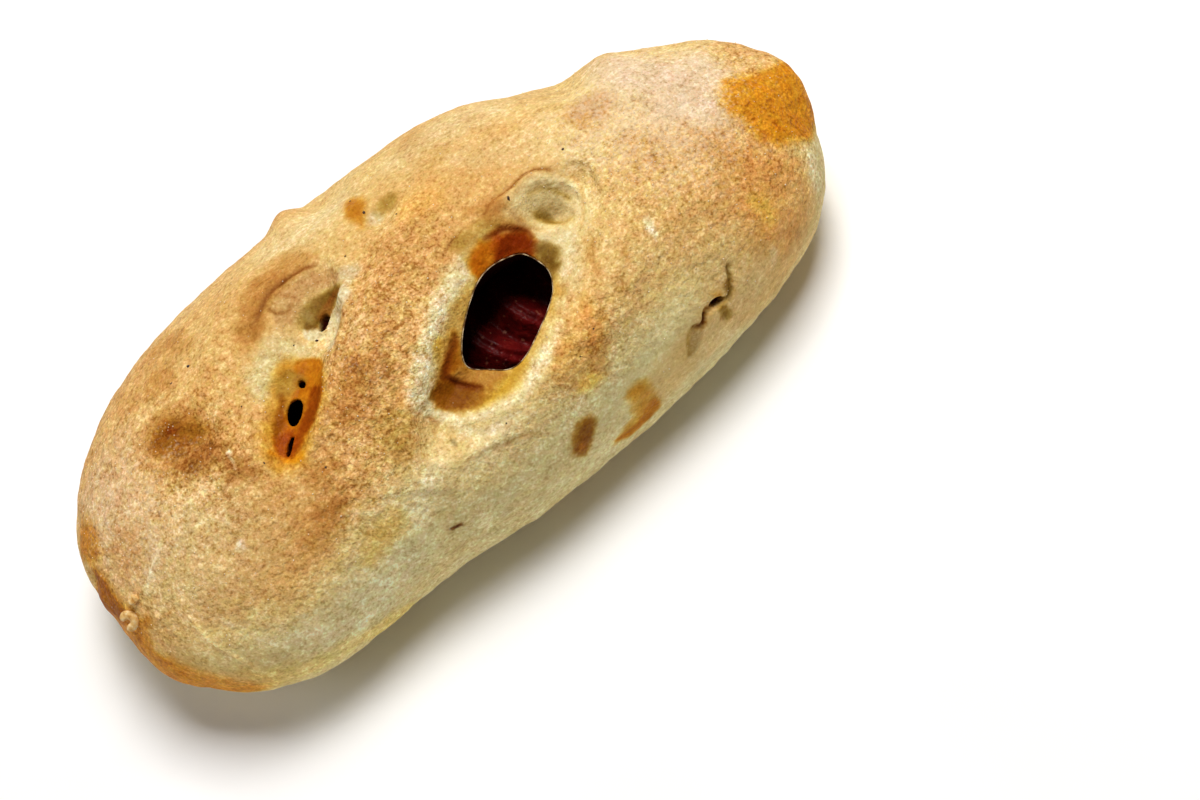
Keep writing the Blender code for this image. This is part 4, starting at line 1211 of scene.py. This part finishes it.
# How fine the mesh stays where it isn't seen, and how much finer where it is and in the slashes
LEAST_FINENESS = 0.1
SEEN_FINENESS = 0.5
SLASH_FINENESS = 0.4
# The heights between which the crust comes into sight, and the depths between which it goes out of it
SEEN_HEIGHTS = (-6, 12)
HIDDEN_DEPTHS = (1.2, 3)
HIDDEN_SHARE = 0.9


def make_bread():
    skin = Skin()
    bread = skin.thing
    cutters = [
        make_tunnel(),
        make_chamber("main_chamber", MAIN_SLASH, MAIN_CHAMBER, skin),
        make_punch("main_punch", MAIN_SLASH, curve_through(MAIN_RIM, PUNCH_POINTS, closed=True)),
        make_chamber("small_chamber", SMALL_SLASH, SMALL_CHAMBER, skin),
    ]
    for k, hole in enumerate(SMALL_HOLES):
        cutters.append(make_punch(f"small_punch_{k}", SMALL_SLASH, oval_outline(hole)))
    cutters += [make_pit(f"pit_{k}", oval) for k, oval in enumerate(PITS)]
    for cutter in cutters:
        cut(bread, cutter)
    bpy.context.view_layer.update()
    apply_modifiers(bread)
    for cutter in cutters:
        bpy.data.objects.remove(cutter)
    remesh(bread, VOXEL)
    points = mesh_points(bread.data)
    rest, depth = skin.look_up(points)
    seen = smoothstep(*SEEN_HEIGHTS, points[:, 2]) * (1 - HIDDEN_SHARE * smoothstep(*HIDDEN_DEPTHS, depth))
    slashes = np.maximum(*(patch(rest, oval, FINE_EDGE) for oval in FINE_PLACES))
    decimate(bread, CRUST_TRIANGLES, LEAST_FINENESS + SEEN_FINENESS * seen + SLASH_FINENESS * slashes * seen)
    return bread, make_lip(skin), paint_crust(bread.data, skin)


def make_slice(bm, x, lean, spin):
    """One round slice of sausage with softened edges, leaning along the row."""
    size = {"radius1": SLICE_RADIUS, "radius2": SLICE_RADIUS, "depth": SLICE_THICKNESS}
    made = bmesh.ops.create_cone(bm, cap_ends=True, segments=SLICE_SEGMENTS, **size)["verts"]
    edges = {edge for vert in made for edge in vert.link_edges}
    half_side = SLICE_THICKNESS / 2
    rims = [edge for edge in edges if abs(edge.verts[0].co.z - edge.verts[1].co.z) < half_side]
    rounded = bmesh.ops.bevel(bm, geom=rims, offset=SLICE_BEVEL, segments=4, affect="EDGES")["verts"]
    verts = list({vert for vert in (*made, *rounded) if vert.is_valid})
    bmesh.ops.rotate(bm, verts=verts, matrix=Euler((0, radians(90 - lean), radians(spin))).to_matrix())
    bmesh.ops.translate(bm, verts=verts, vec=(x, TUNNEL_Y, TUNNEL_HEIGHT))


# The lumps of the cut sausage: height, size, seed and octaves of each noise
MEAT_LUMPS = ((0.35, 3.2, 41, 2), (0.12, 1.2, 43, 1))
MEAT_SHRINKING = 0.15


def make_filling():
    """The row of slices, with the small lumps of cut sausage."""
    draw = np.random.default_rng(SLICE_SEED)
    bm = bmesh.new()
    for k in range(SLICE_COUNT):
        x = SLICE_PITCH * (k - (SLICE_COUNT - 1) / 2)
        lean = SLICE_LEAN + draw.uniform(-SLICE_LEAN_SPREAD, SLICE_LEAN_SPREAD)
        spin = draw.uniform(-SLICE_SPIN_SPREAD, SLICE_SPIN_SPREAD)
        make_slice(bm, x, lean, spin)
    filling = object_from(bm, "chorizo_slices")
    remesh(filling, FILLING_VOXEL)
    points = mesh_points(filling.data)
    middle = np.array((0, TUNNEL_Y, TUNNEL_HEIGHT))
    away = (points - middle) * (0, 1, 1)
    away /= np.maximum(np.linalg.norm(away, axis=1, keepdims=True), 1)
    lumps = sum(height * cloudy(points, *field) for height, *field in MEAT_LUMPS) - MEAT_SHRINKING
    set_mesh_points(filling.data, points + away * lumps[:, None])
    decimate(filling, FILLING_TRIANGLES)
    return filling


def linear(red, green, blue):
    """A colour as a screen shows it, from 0 to 255, as the renderer's linear light."""
    shares = [value / 255 for value in (red, green, blue)]
    return (*(s / 12.92 if s <= 0.04045 else ((s + 0.055) / 1.055) ** 2.4 for s in shares), 1)


class Nodes:
    """A material's node tree, grown by one short call for each node. Lengths are in millimetres."""

    def __init__(self, name, even):
        self.material = bpy.data.materials.new(name)
        self.material.use_nodes = True
        self.tree = self.material.node_tree
        self.shader = self.tree.nodes["Principled BSDF"]
        for socket, value in even.items():
            self.shader.inputs[socket].default_value = value
        place = self.add("TexCoord", {}, "Object")
        self.place = self.add("VectorMath", {0: place, "Scale": 1 / MM}, operation="SCALE")

    def add(self, kind, inputs, output=0, **settings):
        node = self.tree.nodes.new("ShaderNode" + kind)
        for key, value in settings.items():
            setattr(node, key, value)
        for key, value in inputs.items():
            self.put(node.inputs[key], value)
        return node.outputs[output]

    def put(self, socket, value):
        if isinstance(value, bpy.types.NodeSocket):
            self.tree.links.new(value, socket)
        else:
            socket.default_value = value

    def math(self, operation, a, b):
        return self.add("Math", {0: a, 1: b}, operation=operation)

    def total(self, first, *rest):
        for value in rest:
            first = self.math("ADD", first, value)
        return first

    def times(self, a, b):
        return self.math("MULTIPLY", a, b)

    def noise(self, size, detail, offset=0.0, twist=0.0):
        """Noise from about 0.2 to 0.8 that changes over the given size."""
        place = self.add("VectorMath", {0: self.place, 1: (offset,) * 3}, operation="ADD")
        inputs = {"Vector": place, "Scale": 1 / size, "Detail": detail, "Distortion": twist}
        return self.add("TexNoise", inputs)

    def swing(self, size, amount, detail=2, offset=0.0):
        """Noise about zero, most of it within the given amount."""
        return self.times(self.math("SUBTRACT", self.noise(size, detail, offset), 0.5), 4 * amount)

    def step(self, value, low, high, top=1.0):
        inputs = {"Value": value, "From Min": low, "From Max": high, "To Min": 0.0, "To Max": top}
        return self.add("MapRange", inputs, interpolation_type="SMOOTHSTEP")

    def mix(self, share, under, over, blend="MIX"):
        """A colour laid over another, or multiplied with it, as far as share says."""
        inputs = {0: share, 6: under, 7: over}
        return self.add("Mix", inputs, 2, data_type="RGBA", blend_type=blend, clamp_factor=True)

    def tint(self, share, colour, by):
        return self.mix(share, colour, (*by, 1), "MULTIPLY")

    def ramp(self, value, stops):
        node = self.tree.nodes.new("ShaderNodeValToRGB")
        node.color_ramp.interpolation = "EASE"
        elements = node.color_ramp.elements
        while len(elements) < len(stops):
            elements.new(1)
        for element, (place, colour) in zip(elements, stops):
            element.position = place
            element.color = linear(*colour)
        self.put(node.inputs[0], value)
        return node.outputs[0]

    def painted(self, name):
        """The colour and the fourth field that paint() stored under this name."""
        colour = self.add("Attribute", {}, "Color", attribute_name=name)
        return colour, colour.node.outputs["Alpha"]

    def finish(self, colour, roughness, height, bump_distance, bump_strength=1.0):
        self.put(self.shader.inputs["Base Color"], colour)
        self.put(self.shader.inputs["Roughness"], roughness)
        inputs = {"Height": height, "Distance": bump_distance * MM, "Strength": bump_strength}
        self.put(self.shader.inputs["Normal"], self.add("Bump", inputs))
        return self.material


# The crust's speckles: size, amount, detail and offset of each noise
SPECKLE = ((0.5, 0.35, 1, 20), (1.0, 0.42, 2, 80), (2.2, 0.22, 2, 40), (5.0, 0.17, 2, 60))
# What speckles, oil, flour and the depth inside do to the crust's tone; the dark inside is oil stain with
# painted shade
DARKER = (0.60, 0.47, 0.29)
LIGHTER = (1.4, 1.65, 2.2)
PINKER = (1.04, 0.93, 0.98)
YELLOWER = (1.02, 1.06, 0.95)
OILED = (0.62, 0.42, 0.18)
DUST = (236, 212, 176)
OIL_AND_SHADE_INSIDE = (58, 16, 6)
# The crust's bumps: size, detail and offset of each noise, and its height
BUMPS = ((2.0, 2, 5, 0.8), (0.9, 2, 25, 0.5), (0.4, 1, 35, 0.15))
CRUST = {
    "Specular IOR Level": 0.05,
    "Subsurface Weight": 0.1,
    "Subsurface Scale": 1.5 * MM,
    "Subsurface Radius": (1.0, 0.5, 0.25),
}


def crust_material():
    nodes = Nodes("baked_crust", CRUST)
    tone, gloss = nodes.painted("tone")
    touch, _ = nodes.painted("touch")
    grainy, flour, inside = nodes.add("SeparateColor", {0: touch}).node.outputs

    def where_grainy(value, low, high):
        return nodes.times(nodes.step(value, low, high), grainy)

    vary = nodes.total(*(nodes.swing(*layer) for layer in SPECKLE))
    colour = nodes.tint(where_grainy(vary, 0.0, 0.6), tone, DARKER)
    colour = nodes.tint(where_grainy(vary, 0.0, -0.6), colour, LIGHTER)
    colour = nodes.tint(where_grainy(nodes.noise(1.7, 2, 110), 0.4, 0.62), colour, PINKER)
    colour = nodes.tint(where_grainy(nodes.noise(1.5, 2, 130), 0.45, 0.66), colour, YELLOWER)
    dusted = nodes.total(flour, nodes.swing(0.7, 0.4, 3, 30), nodes.swing(5, 0.2, 2, 50))
    colour = nodes.mix(nodes.step(dusted, 0.35, 1.2, 0.6), colour, linear(*DUST))
    wet = nodes.step(nodes.total(nodes.noise(1.1, 2, 70), nodes.swing(3.2, 0.15, 2, 90)), 0.35, 0.75, 0.8)
    colour = nodes.tint(nodes.times(wet, gloss), colour, OILED)
    # Deep in the holes the walls turn to the oily inside tone: oil stain with painted shade
    colour = nodes.mix(inside, colour, linear(*OIL_AND_SHADE_INSIDE))

    shiny = nodes.math("MAXIMUM", gloss, nodes.times(inside, 0.8))
    matte = nodes.total(0.56, nodes.swing(0.7, 0.08, 2, 15), nodes.step(dusted, 0.3, 1.2, 0.2))
    roughness = nodes.add("Mix", {0: shiny, 2: matte, 3: 0.36})
    bumps = nodes.total(*(nodes.times(nodes.noise(*layer), height) for *layer, height in BUMPS))
    height = nodes.times(bumps, nodes.total(0.35, nodes.times(grainy, 0.65)))
    return nodes.finish(colour, roughness, height, 0.8)


MARBLING = (
    (0.2, (60, 4, 5)),
    (0.42, (92, 7, 8)),
    (0.58, (110, 13, 12)),
    (0.68, (126, 28, 22)),
    (0.8, (160, 76, 60)),
)
FAT = (214, 140, 104)
MEAT = {"Specular IOR Level": 0.2, "Subsurface Weight": 0.05, "Subsurface Scale": MM}


def chorizo_material():
    nodes = Nodes("chorizo_meat", MEAT)
    marbling = nodes.noise(2.4, 4, 5, 0.8)
    fat = nodes.step(nodes.noise(1.3, 2, 60), 0.64, 0.7, 0.25)
    colour = nodes.mix(fat, nodes.ramp(marbling, MARBLING), linear(*FAT))
    roughness = nodes.total(0.46, nodes.swing(1.2, 0.08, 2, 9))
    grain = nodes.total(nodes.times(nodes.noise(0.9, 3, 15), 0.6), nodes.times(marbling, 0.5))
    return nodes.finish(colour, roughness, grain, 0.4)


class Plain(NamedTuple):
    """A plain material whose colour, roughness and height each change over a small size."""

    specular: float
    size: float
    stops: tuple
    roughness: float
    rough_size: float
    rough_amount: float
    bump_size: float
    bump_detail: float
    bump_distance: float
    bump_strength: float = 1.0


CRUMB = ((0.3, (196, 140, 66)), (0.5, (228, 184, 112)), (0.7, (242, 214, 160)))
FLOUR = ((0.3, (226, 204, 166)), (0.7, (248, 236, 208)))
TABLE = ((0.3, (250, 250, 251)), (0.7, (254, 254, 254)))
LIP = ((0.42, (100, 66, 30)), (0.64, (208, 184, 144)))
SPECK = ((0.3, (34, 18, 8)), (0.7, (76, 42, 20)))
PLAIN = {
    "loose_crumb": Plain(0.3, 0.9, CRUMB, 0.75, 0.5, 0.08, 0.3, 2, 0.15),
    "flour_grain": Plain(0.2, 0.5, FLOUR, 0.85, 0.3, 0.06, 0.15, 1, 0.05),
    "pale_table": Plain(0.2, 60, TABLE, 0.7, 30, 0.04, 4, 2, 0.02, bump_strength=0.2),
    "torn_lip": Plain(0.3, 1.6, LIP, 0.5, 0.5, 0.08, 0.3, 1, 0.1),
    "burnt_speck": Plain(0.4, 0.4, SPECK, 0.5, 0.3, 0.08, 0.2, 1, 0.08),
}


def plain_material(name):
    look = PLAIN[name]
    nodes = Nodes(name, {"Specular IOR Level": look.specular})
    colour = nodes.ramp(nodes.noise(look.size, 2, 3), look.stops)
    roughness = nodes.total(look.roughness, nodes.swing(look.rough_size, look.rough_amount))
    height = nodes.noise(look.bump_size, look.bump_detail, 8)
    return nodes.finish(colour, roughness, height, look.bump_distance, look.bump_strength)


FLOUR_COUNT = 1200
FLOUR_SIZES = (0.14, 0.32)
FLOUR_SEED = 11
SPECK_SEED = 13
# How far a grain of flour lies out of the crust and a speck lies in it, as a share of its size
FLOUR_LIFT = 0.15
SPECK_SINK = 0.25
GRAIN_STRETCH = (0.6, 1.3)
GRAIN_DENTS = (0.75, 1.15)


def scatter_flour(crust, share):
    """Small rough grains lying on the crust, joined into one mesh; share says how likely each place is."""
    draw = np.random.default_rng(FLOUR_SEED)
    points = mesh_points(crust)
    normals = np.empty(len(points) * 3)
    crust.vertices.foreach_get("normal", normals)
    normals = normals.reshape(-1, 3)
    bm = bmesh.new()
    for k in draw.choice(len(points), FLOUR_COUNT, replace=False, p=share / share.sum()):
        size = draw.uniform(*FLOUR_SIZES)
        grain_at(bm, draw, points[k] + normals[k] * FLOUR_LIFT * size, size)
    return object_from(bm, "flour")


def grain_at(bm, draw, place, size):
    """One small rough lump."""
    stretch = draw.uniform(*GRAIN_STRETCH, 3) * size / 2
    turn = Euler(draw.uniform(0, 2 * pi, 3)).to_matrix()

    def shape(co):
        dent = draw.uniform(*GRAIN_DENTS)
        return turn @ Vector(co[axis] * stretch[axis] * dent for axis in range(3)) + Vector(place)

    lump(bm, 1, shape)


def make_specks(tree):
    """Burnt specks, each sunk more than half into the crust."""
    draw = np.random.default_rng(SPECK_SEED)
    bm = bmesh.new()
    for x, girth, size in SPECKS:
        seat, normal = seat_on(tree, x, girth)
        grain_at(bm, draw, seat - normal * SPECK_SINK * size, size)
    return object_from(bm, "burnt_specks")


CURL_PLACE = (-81.5, 62.0)
CURL_RADIUS = 1.2
CURL_THICKNESS = 0.82
CURL_START = radians(-110)
CURL_SWEEP = radians(305)
CURL_RINGS = 25
CURL_SIDES = 12
# How far the curl turns to the camera, how high it lies, and how wide and thick its strand is
CURL_FACING = 1.2
CURL_LIFT = 1.1
CURL_STRAND = (1.1, 0.9)
CRUMB_PLACE = (-78.0, 70.0)
CRUMB_LIFT = 0.5
CRUMB_HALF_SIZES = (1.1, 0.9, 0.9)


def make_curl(tree):
    """A pale crumb of dough, curled like a hook, on the rim of the left end, with a round one above it."""
    seat, normal = seat_on(tree, *CURL_PLACE)
    right, _, back = camera_axes()
    facing = (normal + CURL_FACING * back).normalized()
    level = (right - facing * right.dot(facing)).normalized()
    flat = Matrix((level, facing.cross(level), facing)).transposed()
    bm = bmesh.new()
    rings = []
    for k in range(CURL_RINGS):
        share = k / (CURL_RINGS - 1)
        turn = CURL_START + share * CURL_SWEEP
        radius = CURL_RADIUS * (1.15 - 0.2 * share)
        girth = CURL_THICKNESS * (1 - (2 * abs(share - 0.5)) ** 4) ** 0.5 + 0.02
        middle = Vector((radius * cos(turn), radius * sin(turn), CURL_LIFT))
        outwards = Vector((cos(turn), sin(turn), 0))
        ring = []
        for j in range(CURL_SIDES):
            angle = 2 * pi * j / CURL_SIDES
            bump = 1 + 0.1 * sin(3 * angle + 9 * share) + 0.07 * sin(15 * share)
            offset = outwards * cos(angle) * CURL_STRAND[0] + Vector((0, 0, sin(angle) * CURL_STRAND[1]))
            ring.append(bm.verts.new(seat + flat @ (middle + offset * girth * bump)))
        rings.append(ring)
    joined_rings(bm, rings, closed=False)
    seat, normal = seat_on(tree, *CRUMB_PLACE)

    def shape(co):
        bump = 1 + 0.15 * sin(5 * co.x + 2 * co.y) + 0.1 * sin(7 * co.z)
        return seat + CRUMB_LIFT * normal + bump * co * Vector(CRUMB_HALF_SIZES)

    lump(bm, 3, shape)
    return object_from(bm, "curled_crumb")


LIP_THICKNESS = 0.1
LIP_RINGS = 220
LIP_SIDES = 8
LIP_INSET = 0.995
LIP_DEPTH = 0.05
# How far over the loaf the lip's points start before they drop onto the crust
LIP_DROP = 8
# How the lip's thickness changes: share, size and seed of each noise
LIP_UNEVENNESS = ((0.4, 1.2, 61), (0.24, 0.5, 62))


def make_lip(skin):
    """The torn lip of the main hole: a thin uneven thread of crust all the way round it."""
    out = axes_at(MAIN_SLASH)[3]
    rim = LIP_INSET * curve_through(MAIN_RIM, LIP_RINGS, closed=True)
    above = over_slash(MAIN_SLASH, rim, LIP_DROP)
    seats = [skin.tree.ray_cast(Vector(point), Vector(-out))[0] for point in above]
    centres = np.array(seats) - LIP_DEPTH * out
    unevenness = sum(share * value_noise(centres, size, seed) for share, size, seed in LIP_UNEVENNESS)
    thickness = LIP_THICKNESS * (1 + unevenness)
    ahead = np.roll(centres, -1, axis=0) - np.roll(centres, 1, axis=0)
    ahead /= np.linalg.norm(ahead, axis=1, keepdims=True)
    bm = bmesh.new()
    rings = []
    for centre, wide, side in zip(centres, thickness, np.cross(ahead, out)):
        angles = (2 * pi * j / LIP_SIDES for j in range(LIP_SIDES))
        rings.append([bm.verts.new(centre + wide * (cos(a) * side + sin(a) * out)) for a in angles])
    joined_rings(bm, rings, closed=True)
    return object_from(bm, "torn_lip")


def settle(thing, material, slot, *nodes):
    """Scales a finished piece to metres, dresses it and ties it to the part."""
    thing.data.transform(Matrix.Scale(MM, 4))
    thing.data.materials.clear()
    thing.data.materials.append(material)
    thing.data.shade_smooth()
    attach(thing, "root")
    if nodes:
        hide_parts(*nodes)


# The camera, as fitted to the photograph's outline of the bun
CAMERA_AZIMUTH = radians(-8)
CAMERA_ELEVATION = radians(64)
CAMERA_ROLL = radians(30.5)
CAMERA_DISTANCE = 468.0
CAMERA_LENS = 70.0
SENSOR_WIDTH = 36.0
AIM = Vector((0, -2, 22))
AIM_PIXEL = (448, 341.5)
IMAGE_SIZE = (1200, 800)


def camera_axes():
    """The picture's right and up, and the direction from the bun to the camera."""
    back = Vector(
        (
            sin(CAMERA_AZIMUTH) * cos(CAMERA_ELEVATION),
            -cos(CAMERA_AZIMUTH) * cos(CAMERA_ELEVATION),
            sin(CAMERA_ELEVATION),
        )
    )
    level = Vector((0, 0, 1)).cross(back).normalized()
    upright = back.cross(level)
    right = cos(CAMERA_ROLL) * level - sin(CAMERA_ROLL) * upright
    return right, sin(CAMERA_ROLL) * level + cos(CAMERA_ROLL) * upright, back


def make_camera():
    right, up, back = camera_axes()
    pixel = CAMERA_DISTANCE * SENSOR_WIDTH / CAMERA_LENS / IMAGE_SIZE[0]
    aside = (AIM_PIXEL[0] - IMAGE_SIZE[0] / 2) * pixel
    above = (IMAGE_SIZE[1] / 2 - AIM_PIXEL[1]) * pixel
    place = (AIM - right * aside - up * above + back * CAMERA_DISTANCE) * MM
    data = bpy.data.cameras.new("camera")
    data.lens = CAMERA_LENS
    data.sensor_width = SENSOR_WIDTH
    data.clip_start = 0.01
    camera = linked("camera", data)
    camera.matrix_world = Matrix.Translation(place) @ Matrix((right, up, back)).transposed().to_4x4()
    bpy.context.scene.camera = camera


def make_area_light(name, place, target, size, power, colour):
    data = bpy.data.lights.new(name, "AREA")
    data.shape = "RECTANGLE"
    data.size, data.size_y = size
    data.energy = power
    data.color = colour
    towards = (Vector(place) - Vector(target)).normalized()
    turn = towards.to_track_quat("Z", "Y").to_matrix().to_4x4()
    linked(name, data).matrix_world = Matrix.Translation(place) @ turn


DAYLIGHT = (1.0, 0.985, 0.96)
# Each light's name, place, target, size, power in watts and colour
LIGHTS = (
    ("window", (0.34, 0.24, 1.12), (0, 0, 0.02), (0.55, 0.55), 15.8, DAYLIGHT),
    ("side", (-0.66, 0.2, 0.4), (0, 0, 0.03), (0.4, 0.4), 1.1, DAYLIGHT),
    ("fill", (-0.47, -0.65, 0.2), (0, 0, 0.03), (0.7, 0.2), 0.85, (1.0, 0.955, 0.9)),
)
ROOM_COLOUR = (1.0, 0.97, 0.95, 1)
ROOM_STRENGTH = 0.035
TABLE_SIZE = 1.6
TABLE_GAP = 0.05


def make_surroundings():
    bm = bmesh.new()
    bmesh.ops.create_grid(bm, x_segments=8, y_segments=8, size=TABLE_SIZE)
    table = object_from(bm, "table")
    table.data.materials.append(plain_material("pale_table"))
    table.location.z = -TABLE_GAP * MM
    for light in LIGHTS:
        make_area_light(*light)
    world = bpy.data.worlds.new("studio")
    world.use_nodes = True
    background = world.node_tree.nodes["Background"]
    background.inputs["Color"].default_value = ROOM_COLOUR
    background.inputs["Strength"].default_value = ROOM_STRENGTH
    bpy.context.scene.world = world
    bpy.context.scene.view_settings.view_transform = "Standard"


def main():
    make_camera()
    make_surroundings()
    bread, lip, dusty = make_bread()
    flour = scatter_flour(bread.data, dusty + TINY)
    tree = tree_of(bread)
    specks = make_specks(tree)
    curl = make_curl(tree)
    filling = make_filling()
    settle(bread, crust_material(), "baked_crust", "bun")
    settle(filling, chorizo_material(), "chorizo_meat", "chorizo")
    settle(flour, plain_material("flour_grain"), "baked_crust")
    settle(specks, plain_material("burnt_speck"), "baked_crust")
    settle(curl, plain_material("loose_crumb"), "baked_crust")
    settle(lip, plain_material("torn_lip"), "baked_crust")


main()
